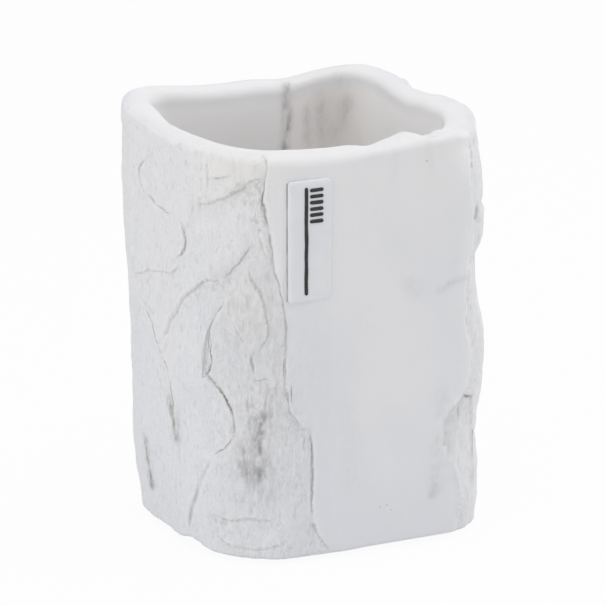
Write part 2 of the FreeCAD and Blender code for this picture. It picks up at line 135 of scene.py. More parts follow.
CRACKS = (
    Crack(0.55, 0.6, -0.25, 0.35, 6.0, 0.75, (
        (225, 300), (219, 310), (212, 326), (211, 344), (212, 362), (209, 372), (205, 380))),
    Crack(1.4, 0.35, 0.0, 0.0, 3.0, 0.32, ((215, 316), (209, 336), (207, 354), (207, 372), (209, 382))),
    Crack(0.45, 0.5, 0.3, -0.1, 5.0, 0.7, (
        (207, 366), (216, 384), (226, 400), (232, 414), (234, 432), (234, 440))),
    Crack(0.45, 0.35, 0.2, 0.0, 5.0, 0.65, ((234, 434), (231, 442), (226, 448), (219, 451), (211, 456))),
    Crack(1.2, 0.5, 0.15, 0.1, 5.0, 0.35, (
        (213, 453), (208, 464), (202, 478), (196, 494), (193, 506), (192, 520), (189, 533))),
    Crack(0.35, 0.3, 0.3, -0.2, 8.0, 0.3, ((253, 242), (245, 255), (237, 265), (229, 273), (221, 279))),
    Crack(0.8, 0.15, 0.3, -0.2, 8.0, 0.08, (
        (224, 277), (214, 280), (206, 280), (197, 285), (190, 293), (182, 300), (177, 310), (173, 320),
        (167, 328), (165, 340))),
    Crack(0.7, 0.5, 0.1, 0.3, 6.0, 0.7, (
        (143, 298), (147, 308), (152, 322), (160, 338), (167, 358), (174, 382), (176, 398), (177, 416),
        (178, 442))),
    Crack(1.6, 0.4, 0.0, 0.1, 4.0, 0.35, ((169, 396), (172, 414), (175, 440))),
    Crack(0.9, 0.5, 0.0, 0.25, 5.0, 0.5, ((147, 158), (143, 167), (143, 176), (146, 186), (147, 197))),
    Crack(0.5, 0.3, 0.2, -0.1, 5.0, 0.3, ((145, 192), (154, 203), (163, 210), (175, 217))),
    Crack(0.5, 0.4, 0.3, -0.1, 6.0, 0.5, ((180, 216), (186, 231), (188, 242), (186, 253), (177, 258))),
    Crack(0.5, 0.15, 0.3, -0.1, 6.0, 0.1, (
        (184, 263), (177, 268), (170, 273), (160, 271), (150, 270), (134, 274))),
    Crack(0.7, 0.2, 0.4, -0.3, 7.0, 0.05, (
        (250, 184), (240, 190), (232, 194), (224, 198), (216, 201), (206, 204), (192, 202))),
    Crack(0.45, 0.2, 0.2, -0.15, 4.0, 0.15, ((264, 179), (254, 180), (246, 185))),
    Crack(0.45, 0.25, 0.2, -0.15, 4.0, 0.25, ((232, 176), (220, 177), (207, 178))),
    Crack(1.0, 0.2, 0.1, 0.1, 3.0, 0.1, ((232, 158), (234, 168), (235, 178))),
    Crack(0.5, 0.1, 0.25, -0.2, 6.0, 0.0, ((209, 152), (208, 174), (208, 198))),
    Crack(0.5, 0.1, 0.4, -0.15, 7.0, 0.0, (
        (248, 264), (250, 278), (256, 288), (262, 298), (265, 310), (267, 322), (268, 334), (262, 344),
        (257, 354))),
    Crack(0.5, 0.1, -0.1, 0.35, 5.0, 0.0, ((231, 318), (240, 338), (252, 344))),
    Crack(0.6, 0.4, 0.25, 0.0, 3.0, 0.3, ((251, 352), (252, 362), (254, 378))),
    Crack(0.45, 0.3, 0.15, -0.1, 3.0, 0.25, ((270, 379), (261, 380), (252, 382))),
    Crack(0.45, 0.25, 0.15, 0.0, 3.0, 0.15, ((248, 392), (246, 404), (250, 418))),
    Crack(0.45, 0.25, 0.15, 0.0, 3.0, 0.15, ((271, 389), (264, 403), (266, 416))),
    Crack(0.5, 0.3, 0.0, 0.1, 3.0, 0.25, ((258, 230), (259, 240), (264, 250), (270, 262))),
    Crack(0.45, 0.25, 0.0, 0.1, 3.0, 0.15, ((264, 240), (261, 248), (258, 258))),
    Crack(1.0, 0.45, 0.1, 0.15, 4.0, 0.4, ((146, 437), (147, 460), (150, 487))),
    Crack(0.6, 0.3, 0.0, 0.1, 4.0, 0.25, ((173, 476), (177, 492), (177, 507))),
    Crack(0.5, 0.25, 0.1, 0.0, 3.0, 0.15, ((155, 360), (158, 376), (166, 398))),
    Crack(0.8, 0.12, 0.2, -0.15, 5.0, 0.04, ((278, 522), (252, 518), (232, 520), (209, 513))),
    Crack(0.8, 0.1, 0.25, -0.15, 5.0, 0.0, ((287, 542), (258, 550), (232, 546), (211, 529))),
    Crack(0.6, 0.3, 0.1, 0.0, 3.0, 0.25, ((306, 436), (304, 446), (305, 456))),
    Crack(0.45, 0.2, 0.1, 0.0, 3.0, 0.1, ((213, 430), (214, 446), (212, 452))),
)
# right-hand edge of the smooth face, and the cracks beyond it
RIGHT_RIDGE = (
    (460, 122), (468, 147), (471, 180), (473, 215), (473, 252), (467, 290), (466, 325), (470, 345),
    (470, 372), (463, 395), (448, 413), (442, 430), (445, 450), (452, 464), (457, 490), (457, 520),
)
RIGHT_CRACKS = (
    Crack(0.5, 0.1, -0.05, 0.12, 5.0, 0.0, ((461, 125), (468, 147), (471, 180), (473, 200))),
    Crack(0.5, 0.2, 0.0, 0.1, 3.0, 0.3, ((469, 142), (471, 152), (471, 166), (472, 176))),
    Crack(1.0, 0.8, 0.0, 0.45, 4.0, 0.4, ((477, 203), (476, 210), (474, 222))),
    Crack(0.5, 0.1, 0.15, -0.1, 5.0, 0.0, ((474, 250), (467, 290), (466, 325), (470, 345))),
    Crack(0.7, 0.8, 0.5, -0.45, 6.0, 0.8, (
        (478, 364), (478, 376), (476, 388), (472, 396), (467, 397), (461, 393))),
    Crack(0.5, 0.1, 0.5, -0.45, 7.0, 0.0, ((463, 395), (448, 413), (442, 430), (445, 450), (452, 464))),
    Crack(0.5, 0.25, 0.1, 0.0, 3.0, 0.3, ((461, 404), (459, 412), (458, 420))),
)
# How far the outline stands out at each side, by photograph row
RIGHT_EDGE_SHIFTS = (
    (130, 0.3), (150, 0.6), (170, 0.5), (190, 0.4), (208, 0.4), (222, 0.2), (232, 0.1), (240, -0.5),
    (250, -1.8), (260, -1.75), (272, -1.55), (290, -1.1), (310, 0.1), (330, 1.0), (350, 0.9),
    (370, 0.7), (390, 0.35), (410, -0.7), (430, -1.35), (445, -1.1), (460, -0.25), (470, -0.2),
    (490, 0.45), (508, -0.1),
)
LEFT_EDGE_SHIFTS = (
    (100, -0.5), (130, -0.35), (190, -0.3), (210, -0.3), (230, -0.35), (250, -0.5), (290, -0.9),
    (310, -0.9), (330, -0.75), (370, -0.85), (390, -0.6), (430, -0.15), (470, -0.4), (490, -1.0),
    (505, -1.0),
)
RIGHT_NOTCH_SHIFTS = ((194, 0.0), (201, -0.9), (204, -0.8), (208, 0.1), (214, 0.0))
EDGE_SPREAD = 9.0
NOTCH_SPREAD = 3.0
# The cracks seen from the front also run over the hidden bark: how far each copy is moved round
# the wall, and whether it is turned over
HIDDEN_COPIES = ((-86.0, -1.0), (75.0, 1.0))
HIDDEN_FROM = math.radians(352.0)
HIDDEN_TO = math.radians(150.0)
HIDDEN_BLEND = 5.0

# Patches along points of the photograph: grey smudges in the resin, crumbled bark, cream-coloured
# resin, and painted shade on part of the inside
Patch = namedtuple("Patch", "width strength points")
SMUDGES = (
    Patch(0.9, 0.42, ((287, 84), (285, 100), (287, 118), (288, 134), (284, 150))),
    Patch(1.9, 0.2, ((286, 84), (287, 120), (284, 150))),
    Patch(1.3, 0.25, ((320, 100), (321, 122), (322, 136))),
    Patch(1.5, 0.3, ((346, 104), (345, 118), (334, 132))),
    Patch(1.0, 0.28, ((307, 112), (308, 142))),
    Patch(0.8, 0.3, ((338, 73), (338, 78))),
    Patch(1.9, 0.3, ((260, 424), (256, 436), (257, 448))),
    Patch(1.5, 0.22, ((264, 416), (260, 430), (261, 448), (261, 460), (259, 478))),
    Patch(1.8, 0.22, ((260, 468), (259, 478))),
    Patch(3.2, 0.18, ((264, 412), (256, 446), (258, 482))),
    Patch(9.0, 0.2, ((246, 300), (262, 400), (256, 480))),
    Patch(1.5, 0.35, ((244, 452), (240, 462), (247, 474))),
    Patch(1.5, 0.75, ((170, 402), (174, 420), (176, 438))),
    Patch(1.3, 1.0, ((146, 440), (147, 460))),
    Patch(1.2, 0.9, ((149, 472), (151, 486))),
    Patch(1.2, 0.35, ((234, 192), (246, 188))),
    Patch(0.9, 0.22, ((441, 290), (450, 284), (457, 281), (466, 277))),
    Patch(1.8, 0.13, ((408, 284), (416, 292))),
    Patch(1.6, 0.14, ((443, 392), (441, 412))),
    Patch(1.6, 0.17, ((436, 437), (435, 462), (434, 490))),
    Patch(0.7, 0.4, ((434, 486), (433, 496))),
    Patch(1.2, 0.2, ((460, 402), (458, 416))),
    Patch(1.2, 0.15, ((476, 206), (477, 216))),
    Patch(2.2, 0.06, ((345, 400), (352, 440), (350, 480))),
)
CRUMBLES = (
    Patch(2.2, 1.0, ((254, 190), (250, 205), (254, 222), (262, 232))),
    Patch(1.6, 0.9, ((262, 182), (263, 205), (268, 226))),
    Patch(1.6, 1.0, ((240, 186), (228, 198))),
    Patch(2.0, 1.0, ((222, 282), (206, 284), (192, 296), (180, 312))),
    Patch(1.6, 0.7, ((250, 246), (236, 268))),
    Patch(1.8, 0.9, ((252, 382), (250, 400), (252, 416))),
    Patch(1.8, 0.9, ((270, 385), (266, 402), (262, 414))),
    Patch(2.0, 0.8, ((284, 384), (290, 410), (302, 428))),
    Patch(2.6, 0.8, ((244, 452), (246, 474))),
    Patch(1.6, 1.0, ((209, 514), (232, 521), (252, 519), (276, 522))),
    Patch(1.5, 0.7, ((214, 532), (232, 546), (258, 549), (284, 542))),
    Patch(2.6, 0.7, ((216, 524), (246, 532))),
    Patch(2.4, 0.6, ((134, 274), (160, 272), (178, 266))),
    Patch(2.0, 0.7, ((128, 300), (134, 330))),
    Patch(1.5, 0.7, ((294, 470), (300, 500))),
)
CREAMS = (
    Patch(5.0, 0.9, ((216, 160), (240, 168), (256, 172))),
    Patch(4.0, 0.8, ((216, 180), (236, 180))),
    Patch(5.0, 0.85, ((240, 302), (250, 325))),
)
# painted shade: a smooth darkening on part of the inside
INNER_PAINTED_SHADES = (Patch(9.0, 0.6, ((328, 104), (332, 142))),)
# each kind of patch, and how blotchy it is
PATCHES = {
    "smudge": (SMUDGES, 0.6),
    "crumb": (CRUMBLES, 0.6),
    "cream": (CREAMS, 0.6),
    "shade": (INNER_PAINTED_SHADES, 0.0),
}
# how many of its widths a patch reaches
PATCH_REACH = 3.0
# Specks: point in the photograph, and size
OCHRE_SPECKS = (((380, 507), 0.35), ((387, 505), 0.3), ((391, 510), 0.25), ((460, 435), 0.45))
GREY_SPECKS = (((427, 161), 0.35), ((457, 281), 0.35), ((449, 283), 0.25))
# Bumps and notches of the rim's two edges: angle in degrees, rise and length round the rim
OUTER_RIM_MARKS = ((41, 0.6, 4.5), (32, 0.6, 4.0), (25, 1.1, 1.5), (20, -0.3, 1.6))
INNER_RIM_MARKS = (
    (204, 0.4, 6.0), (284, -0.7, 4.0), (289, -0.3, 3.5), (302, 0.7, 2.5), (308, -2.5, 2.0),
    (313, -1.3, 2.6), (319, -0.4, 3.0),
)
INNER_MARK_START = 0.05
INNER_MARK_FULL = 0.6
# Where the mouth is narrower than that of the solid: angle in degrees, how much and length round the rim
MOUTH_MARKS = ((160, 1.5, 8.0),)
# Where the lower edge is worn away: point in the photograph, how far up and length round the base
BASE_MARKS = (((190, 530), 1.6, 4.5),)
BASE_FOLLOW = 8.0
RIM_RIPPLE = 0.2
RIM_RIPPLE_TURNS = 5.0
# Where the soft noise of each kind starts, and how far apart two starts lie
SEED_STEP = np.array((17.3, 5.9, 31.7))
RIM_SEED = 1
CRACK_SEED = 3
RAGGED_SEED = 40
BARK_SEED = 60
FACE_SEED = 70
LAYER_SEED = 75
PIT_SEED = 80
INNER_SEED = 90
PATCH_SEED = 100
WOBBLE_SEED = 200
RADIUS_SEED = 220


def smooth(low, high, value):
    """Ease from 0 to 1 as a value passes from low to high."""
    share = np.clip((value - low) / (high - low), 0.0, 1.0)
    return share * share * (3.0 - 2.0 * share)


def hump(away, width):
    """1 at no distance, easing to 0 past the width."""
    return np.exp(-(away / width) ** 2)


def ripple(points, lengths, seed):
    """Soft noise between about -1 and 1 at points, with a typical length along each axis."""
    spots = (points / np.array(lengths) + seed * SEED_STEP).reshape(-1, 3)
    return np.array([noise.noise(spot) for spot in spots.tolist()]).reshape(points.shape[:-1])


def ripple_along(along, length, seed):
    """The same noise at distances along a line."""
    spots = np.zeros((*np.shape(along), 3))
    spots[..., 0] = along
    return ripple(spots, (length,) * 3, seed)


def lengths_along(points):
    """Length of the way along points, at each of them."""
    return np.concatenate(((0.0,), np.cumsum(np.hypot(*np.diff(points, axis=0).T))))


def softened(grid):
    """A grid whose rows are averaged with those before and after."""
    padded = np.concatenate((grid[:1], grid, grid[-1:]))
    return (padded[:-2] + 2.0 * padded[1:-1] + padded[2:]) / 4.0


def outward(angle):
    """Level way out from the middle of the cup at an angle."""
    return np.array((math.cos(angle), math.sin(angle), 0.0))


def camera_axes():
    """Eye, right, up and forward of the camera."""
    level = math.cos(CAMERA_ELEVATION)
    back = np.array((
        math.sin(CAMERA_AZIMUTH) * level, -math.cos(CAMERA_AZIMUTH) * level, math.sin(CAMERA_ELEVATION),
    ))
    right = np.array((math.cos(CAMERA_AZIMUTH), math.sin(CAMERA_AZIMUTH), 0.0))
    return CAMERA_TARGET + CAMERA_DISTANCE * back, right, np.cross(back, right), -back


def add_object(name, data):
    made = bpy.data.objects.new(name, data)
    bpy.context.scene.collection.objects.link(made)
    return made


def aim(thing, place, way):
    """Put a camera or lamp at a place and turn it a way."""
    thing.location = Vector(place * MM)
    thing.rotation_mode = "QUATERNION"
    thing.rotation_quaternion = Vector(way).to_track_quat("-Z", "Y")


def add_camera():
    eye, right, up, forward = camera_axes()
    data = bpy.data.cameras.new("camera")
    data.lens = CAMERA_LENS
    data.sensor_width = CAMERA_SENSOR
    camera = add_object("camera", data)
    aim(camera, eye, forward)
    bpy.context.scene.camera = camera


def solid_tree(node):
    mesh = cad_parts[node].data
    points = [vertex.co / MM for vertex in mesh.vertices]
    return BVHTree.FromPolygons(points, [polygon.vertices[:] for polygon in mesh.polygons])


cup_solid = solid_tree("tumbler_body")


def seen_at(pixel):
    """Point of the cup seen at a pixel of the photograph."""
    eye, right, up, forward = camera_axes()
    across, down = pixel[0] - PHOTO_SIDE / 2, pixel[1] - PHOTO_SIDE / 2
    way = forward + right * across / FOCAL_LENGTH - up * down / FOCAL_LENGTH
    hit = cup_solid.ray_cast(Vector(eye), Vector(way).normalized())[0]
    if hit is None:
        raise ValueError(f"pixel {pixel} shows no part of the cup")
    return np.array(hit)


def cast(start, way):
    hit = cup_solid.ray_cast(Vector(start), Vector(way), REACH)[0]
    return np.array(hit)


def outer_radius(angle, level):
    out = outward(angle)
    return np.hypot(*cast(out * OUTSIDE + (0.0, 0.0, level), -out)[:2])


def inner_radius(angle, level):
    return np.hypot(*cast((0.0, 0.0, level), outward(angle))[:2])


class Sheet:
    """The wall unrolled at one level: turns angles into lengths round the wall."""

    def __init__(self):
        self.turns = np.linspace(0.0, math.tau, SHEET_STEPS + 1)
        angles = self.turns + SHEET_START
        spots = [outward(angle)[:2] * outer_radius(angle, SHEET_LEVEL) for angle in angles]
        self.lengths = lengths_along(np.array(spots))

    def across(self, points):
        turns = (np.arctan2(points[..., 1], points[..., 0]) - SHEET_START) % math.tau
        return np.interp(turns, self.turns, self.lengths)

    def angle(self, across):
        return np.interp(across, self.lengths, self.turns) + SHEET_START

    def place(self, pixels):
        """Where the pixels of the photograph lie on the sheet."""
        points = np.array([seen_at(pixel) for pixel in pixels])
        return np.stack((self.across(points), points[:, 2]), axis=1)


sheet = Sheet()


def spaced(start, stop, spacing_at):
    """Positions from start to stop, their spacing given along the way."""
    fine = np.linspace(start, stop, SPACING_STEPS)
    density = 1.0 / spacing_at(fine)
    counts = np.concatenate(((0.0,), np.cumsum((density[1:] + density[:-1]) / 2 * np.diff(fine))))
    number = round(counts[-1])
    return np.interp(np.linspace(0.0, counts[-1], number + 1), counts, fine)


def near_edges(places, edges, spacing):
    """Narrow the spacing close to edges."""
    for edge in edges:
        spacing = np.where(np.abs(places - edge) < EDGE_BAND, EDGE_SPACING, spacing)
    return spacing


def by_angle(pairs, angles):
    """Values at angles, between those given in degrees, which go once round from the sheet's start."""
    degrees, values = zip(*pairs)
    return np.interp(angles, np.radians(degrees), values)


def rim_spot(degrees):
    return outward(math.radians(degrees))


def sides(node):
    low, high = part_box(node)
    return np.array(low) / MM, np.array(high) / MM


class Form:
    """Grid of the cup before its relief: columns round the wall, rows up the outside."""

    def __init__(self):
        cup_low, cup_high = sides("tumbler_body")
        plaque_low, plaque_high = sides("label_plaque")
        self.base = cup_low[2]
        self.floor = cast((0.0, 0.0, cup_high[2]), (0.0, 0.0, -1.0))[2]
        self.seat_low = plaque_low + (-SEAT_GAP, 0.0, SEAT_INSET)
        self.seat_high = plaque_high - (SEAT_INSET, 0.0, SEAT_INSET)
        self.seat_depth = sides("label_adhesive")[1][1]
        self.angles = sheet.angle(self.columns())
        self.out = np.array([outward(angle) for angle in self.angles])
        self.across = sheet.across(self.out)
        self.tops = np.array([self.top(angle) for angle in self.angles])
        self.tops += RIM_RIPPLE * ripple(self.out * RIM_RIPPLE_TURNS, (1.0, 1.0, 1.0), RIM_SEED)
        self.outer_marks = self.marks(OUTER_RIM_MARKS, rim_spot)
        self.inner_marks = self.marks(INNER_RIM_MARKS, rim_spot)
        self.mouth_marks = self.marks(MOUTH_MARKS, rim_spot)
        self.worn = self.marks(BASE_MARKS, seen_at)
        self.rounds = by_angle(RIM_ROUNDS, self.angles)
        self.inner_rounds = by_angle(RIM_INNER_ROUNDS, self.angles)
        self.tilts = by_angle(RIM_TILTS, self.angles)
        self.radii = self.outer_radii(self.rows())
        flat = self.radii[..., None] * self.out[:, :2]
        run = np.roll(flat, -1, axis=1) - np.roll(flat, 1, axis=1)
        run /= np.linalg.norm(run, axis=2, keepdims=True)
        self.points = np.concatenate((flat, self.levels[..., None]), axis=2)
        self.normals = np.stack((run[..., 1], -run[..., 0], np.zeros_like(self.radii)), axis=2)

    def columns(self):
        angles, spacings = zip(*COLUMN_SPACING)
        starts = np.radians(angles) - SHEET_START
        corners = np.array([(x, self.seat_low[1], 0.0) for x in (self.seat_low[0], self.seat_high[0])])

        def spacing_at(across):
            turns = np.interp(across, sheet.lengths, sheet.turns)
            return near_edges(across, sheet.across(corners), np.interp(turns, starts, spacings))

        return spaced(0.0, sheet.lengths[-1], spacing_at)[:-1]

    def marks(self, kinds, spot_at):
        """Height of bumps and notches round the wall."""
        rises = np.zeros_like(self.angles)
        for place, rise, length in kinds:
            rises += rise * hump(self.across - sheet.across(spot_at(place)), length)
        return rises

    def top(self, angle):
        """Level of the rim of the solid."""
        wall = (outer_radius(angle, SHEET_LEVEL) + inner_radius(angle, SHEET_LEVEL)) / 2
        return cast(outward(angle) * wall + (0.0, 0.0, ABOVE), (0.0, 0.0, -1.0))[2]

    def rows(self):
        """Levels of the rows at the plaque."""
        middle = math.atan2(self.seat_low[1], (self.seat_low[0] + self.seat_high[0]) / 2)
        edges = (self.seat_low[2], self.seat_high[2])

        def spacing_at(levels):
            return near_edges(levels, edges, np.full_like(levels, ROW_SPACING))

        self.front_top = self.top(middle) - max(self.rounds)
        return spaced(self.base + BASE_ROUND, self.front_top, spacing_at)

    def outer_radii(self, rows):
        """Outer radius by row and column, with the grooves and the seat of the solid smoothed over."""
        follow = smooth(rows[-1] - RIM_FOLLOW, rows[-1], rows)
        edge = self.tops + self.tilts / 2 + self.outer_marks - self.rounds
        self.levels = rows[:, None] + follow[:, None] * (edge - self.front_top)[None, :]
        low = smooth(BASE_FOLLOW, 0.0, rows - rows[0])
        self.levels += low[:, None] * self.worn[None, :]
        radii = np.array([
            [outer_radius(angle, level) for angle, level in zip(self.angles, row)] for row in self.levels
        ])
        beside_plaque = np.abs(self.across - sheet.across(self.seat_low)) < SEAM_REACH
        radii = np.where(beside_plaque, filled(radii, SEAM_STEPS), filled(radii, GROOVE_STEPS))
        x = radii * self.out[:, 0]
        y = radii * self.out[:, 1]
        beside = SEAT_INSET + EDGE_BAND
        in_x = (x > self.seat_low[0] - beside) & (x < self.seat_high[0] + beside) & (y < 0.0)
        for row in range(len(rows)):
            if self.seat_low[2] - beside < self.levels[row].min() < self.seat_high[2] + beside:
                inside = np.nonzero(in_x[row])[0]
                ends = [inside[0] - 1, inside[-1] + 1]
                y[row, inside] = np.interp(x[row, inside], x[row, ends], y[row, ends])
                slope = (y[row, ends[1]] - y[row, ends[0]]) / (x[row, ends[1]] - x[row, ends[0]])
                offset = y[row, ends[0]] - slope * x[row, ends[0]]
                radii[row, inside] = offset / (self.out[inside, 1] - slope * self.out[inside, 0])
        for step in range(SMOOTH_STEPS):
            radii = softened(radii)
        return radii


def filled(grid, steps):
    """A grid with its narrow grooves filled."""
    for pick in (np.maximum, np.minimum):
        grid = spread(grid, pick, steps)
    return grid


def spread(grid, pick, steps):
    """Largest or smallest value in a window round each place of a grid that wraps sideways."""
    best = grid
    for step in range(-steps, steps + 1):
        best = pick(best, np.roll(grid, step, axis=1))
    grid = best
    rows = np.arange(len(grid))
    for step in range(-steps, steps + 1):
        best = pick(best, grid[np.clip(rows + step, 0, len(grid) - 1)])
    return best


form = Form()


# Relief of the wall
CRACK_STEP = 0.7
CRACK_WANDER = 0.3
WANDER_LENGTH = 2.6
CRACK_END = 3.5
CRACK_END_PART = 3
CRACK_LEAST_STEPS = 3
CRACK_RAGGED = 0.15
RAGGED_LENGTHS = (0.9, 0.9, 1.3)
GROOVE_SHARE = 0.45
GROOVE_EXTRA = 0.15
LINE_NEAR = 1.0
LINE_FAR = 1.6
DEPTH_CHANGE = 0.7
DEPTH_LENGTH = 5.0
LIP_HEIGHT = 0.08
LIP_WIDTH = 0.45
# soft unevenness of the bark: height, then length round the wall and up it
BARK_WAVES = ((0.3, 17.0, 24.0), (0.2, 6.0, 9.0), (0.16, 2.3, 5.0), (0.07, 1.1, 4.2))
FACE_WAVES = ((0.14, 24.0, 40.0), (0.03, 5.0, 9.0))
# layers split off the bark: height of a layer, number of layers, then length round the wall and up it
BARK_LAYERS = ((0.17, 3.2, 9.0, 13.0), (0.1, 2.6, 2.4, 11.0))
LAYER_EDGE = 0.16
PIT_DEPTH = 0.14
PIT_LENGTHS = (0.9, 0.9, 2.6)
PIT_START = 0.38
PIT_FULL = 0.62
SEAM_BLEND = 0.7
RIDGE_BLEND = 1.2
QUIET_RIM = 4.0
QUIET_SHARE = 0.5
QUIET_BASE = 1.5
MOUTH_DEPTH = 3.4
INNER_WAVE = 0.18
INNER_LENGTHS = (16.0, 16.0, 26.0)
RIM_CROWN = 0.15
BLOTCH_MIDDLE = 0.75
BLOTCH_LENGTHS = (1.3, 1.3, 3.2)
# values that the cup's mesh carries for its material
SHADES = ("bark", "line_side", "line_half", "line_dark", "hollow", "inside")
# painted shadow: the wall behind the plaque gets a dark line, which shows in the gap along the plaque's
# left-hand side
SEAT_PAINTED_SHADOW = {
    "bark": 0.0, "line_side": 0.0, "line_half": 1.0, "line_dark": 0.5, "hollow": 0.0, "inside": 0.0,
}
RIM_EDGE_SHARE = 0.38
RIM_SHADE_SHARE = 0.6
WORN_POWER = 4
HOLLOW_STEPS = 2
HOLLOW_FULL = 0.16


def jagged(points, seed):
    """The points of a crack joined up at short steps, with a little wander."""
    lengths = lengths_along(points)
    count = max(CRACK_LEAST_STEPS, round(lengths[-1] / CRACK_STEP) + 1)
    steps = np.linspace(0.0, lengths[-1], count)
    line = np.stack([np.interp(steps, lengths, points[:, axis]) for axis in (0, 1)], axis=1)
    line[1:-1] = softened(line)[1:-1]
    for axis in (0, 1):
        wander = CRACK_WANDER * ripple_along(steps, WANDER_LENGTH, 2 * seed + axis)
        line[1:-1, axis] += wander[1:-1]
    return line


def beside(line, places):
    """Distance from a line, which side it is on, above 0 on the right, and the length along the line."""
    best = np.full(len(places), np.inf)
    side = np.zeros(len(places))
    along = np.zeros(len(places))
    passed = 0.0
    for start, end in zip(line[:-1], line[1:]):
        way = end - start
        length = np.hypot(*way)
        share = np.clip((places - start) @ way / length**2, 0.0, 1.0)
        off = places - start - share[:, None] * way
        distance = np.hypot(off[:, 0], off[:, 1])
        nearer = distance < best
        best[nearer] = distance[nearer]
        side[nearer] = (way[0] * off[:, 1] - way[1] * off[:, 0])[nearer]
        along[nearer] = passed + share[nearer] * length
        passed += length
    return best, side, along, passed


class Relief:
    """Height over the outer wall and lines of its cracks, by row and column."""

    def __init__(self):
        across = np.broadcast_to(form.across, form.radii.shape)
        self.places = np.stack((across, form.levels), axis=2).reshape(-1, 2)
        self.height = np.zeros(len(self.places))
        self.line_away = np.full(len(self.places), np.inf)
        self.line_side = np.full(len(self.places), LINE_FAR)
        self.line_half = np.zeros(len(self.places))
        self.line_dark = np.zeros(len(self.places))
        self.seed = CRACK_SEED
        self.bark = self.bark_share()

    def bark_share(self):
        """1 on the bark, 0 on the smooth face between the seam and the right-hand ridge."""
        across, level = self.places.T
        seam = sheet.place([pixel for crack in SEAM for pixel in crack.points])
        ridge = sheet.place(RIGHT_RIDGE)
        seam = seam[np.argsort(seam[:, 1])]
        ridge = ridge[np.argsort(ridge[:, 1])]
        past_seam = across - np.interp(level, seam[:, 1], seam[:, 0])
        past_ridge = across - np.interp(level, ridge[:, 1], ridge[:, 0])
        face = smooth(-SEAM_BLEND, SEAM_BLEND, past_seam) * smooth(RIDGE_BLEND, -RIDGE_BLEND, past_ridge)
        return 1.0 - face

    def carve(self, crack, line, share=None):
        self.seed += 1
        line = jagged(line, self.seed)
        low = line.min(axis=0) - crack.reach
        high = line.max(axis=0) + crack.reach
        near = np.nonzero(np.all((self.places > low) & (self.places < high), axis=1))[0]
        if not len(near):
            return
        distance, side, along, length = beside(line, self.places[near])
        end = min(CRACK_END, length / CRACK_END_PART)
        taper = smooth(0.0, end, along) * smooth(0.0, end, length - along)
        if share is not None:
            taper = taper * share[near]
        depth = crack.depth * (1.0 + DEPTH_CHANGE * ripple_along(along, DEPTH_LENGTH, self.seed))
        ragged = np.maximum(distance + CRACK_RAGGED * self.ragged[near], 0.0)
        lift = np.where(side > 0.0, crack.right, crack.left) * (1.0 - smooth(0.0, crack.reach, distance))
        half = crack.width / 2
        groove = GROOVE_SHARE * depth * hump(ragged, half + GROOVE_EXTRA)
        lip = LIP_HEIGHT * hump(ragged - crack.width - LIP_WIDTH / 2, LIP_WIDTH)
        self.height[near] += taper * (lift - groove + lip)
        nearest = (distance < self.line_away[near]) & (distance < LINE_FAR + half)
        here = near[nearest]
        beyond = distance[nearest] - half
        self.line_away[here] = distance[nearest]
        self.line_side[here] = np.sign(side[nearest]) * distance[nearest]
        self.line_half[here] = half * taper[nearest] * smooth(LINE_FAR, LINE_NEAR, beyond)
        self.line_dark[here] = crack.stain * np.sqrt(taper[nearest]) * depth[nearest] / crack.depth

    def hidden_share(self):
        """1 on the side away from the camera of the photograph."""
        start, end = (sheet.across(outward(turn)) for turn in (HIDDEN_FROM, HIDDEN_TO))
        across = self.places[:, 0]
        return np.maximum(
            smooth(start, start + HIDDEN_BLEND, across), smooth(end, end - HIDDEN_BLEND, across)
        )

    def carve_all(self):
        self.ragged = ripple(form.points.reshape(-1, 3), RAGGED_LENGTHS, RAGGED_SEED)
        for crack in SEAM + CRACKS + RIGHT_CRACKS:
            self.carve(crack, sheet.place(crack.points))
        hidden = self.hidden_share()
        level = form.levels.mean()
        for shift, flip in HIDDEN_COPIES:
            for crack in CRACKS:
                line = sheet.place(crack.points)
                line[:, 1] = level + flip * (line[:, 1] - level)
                for turn in (-1, 0, 1):
                    self.carve(crack, line + (shift + turn * sheet.lengths[-1], 0.0), hidden)

    def roughen(self):
        points = form.points.reshape(-1, 3)
        kinds = ((self.bark, BARK_WAVES, BARK_SEED), (1.0 - self.bark, FACE_WAVES, FACE_SEED))
        for share, waves, seed in kinds:
            for number, (height, across, up) in enumerate(waves):
                self.height += share * height * ripple(points, (across, across, up), seed + number)
        for number, (height, layers, across, up) in enumerate(BARK_LAYERS):
            stack = layers * ripple(points, (across, across, up), LAYER_SEED + number)
            part = stack - np.floor(stack)
            stepped = np.floor(stack) + smooth(0.5 - LAYER_EDGE, 0.5 + LAYER_EDGE, part)
            self.height += self.bark * height * stepped
        pits = smooth(PIT_START, PIT_FULL, ripple(points, PIT_LENGTHS, PIT_SEED))
        self.height -= self.bark * PIT_DEPTH * pits

    def shift_edges(self):
        """Move the outline in and out as the photograph's two edges do."""
        eye, right, up, forward = camera_axes()
        middle = len(form.levels) // 2
        kinds = (
            (RIGHT_EDGE_SHIFTS, EDGE_SPREAD, right), (LEFT_EDGE_SHIFTS, EDGE_SPREAD, -right),
            (RIGHT_NOTCH_SHIFTS, NOTCH_SPREAD, right),
        )
        for shifts, reach, way in kinds:
            column = np.argmax(form.normals[middle] @ way)
            spots = form.points[:, column] - eye
            rows = PHOTO_SIDE / 2 - FOCAL_LENGTH * (spots @ up) / (spots @ forward)
            seen_rows, offsets = zip(*shifts)
            offset = np.interp(rows, seen_rows, offsets)
            spread_out = hump(form.across - form.across[column], reach)
            self.height += (offset[:, None] * spread_out[None, :]).ravel()

    def calm(self):
        """Fade the relief out towards the rim and the base."""
        level = self.places[:, 1]
        tops = np.broadcast_to(form.levels[-1], form.levels.shape).ravel()
        below = smooth(0.0, QUIET_RIM, tops - level)
        above = smooth(0.0, QUIET_BASE, level - form.base)
        self.height *= QUIET_SHARE + (1.0 - QUIET_SHARE) * np.minimum(below, above)

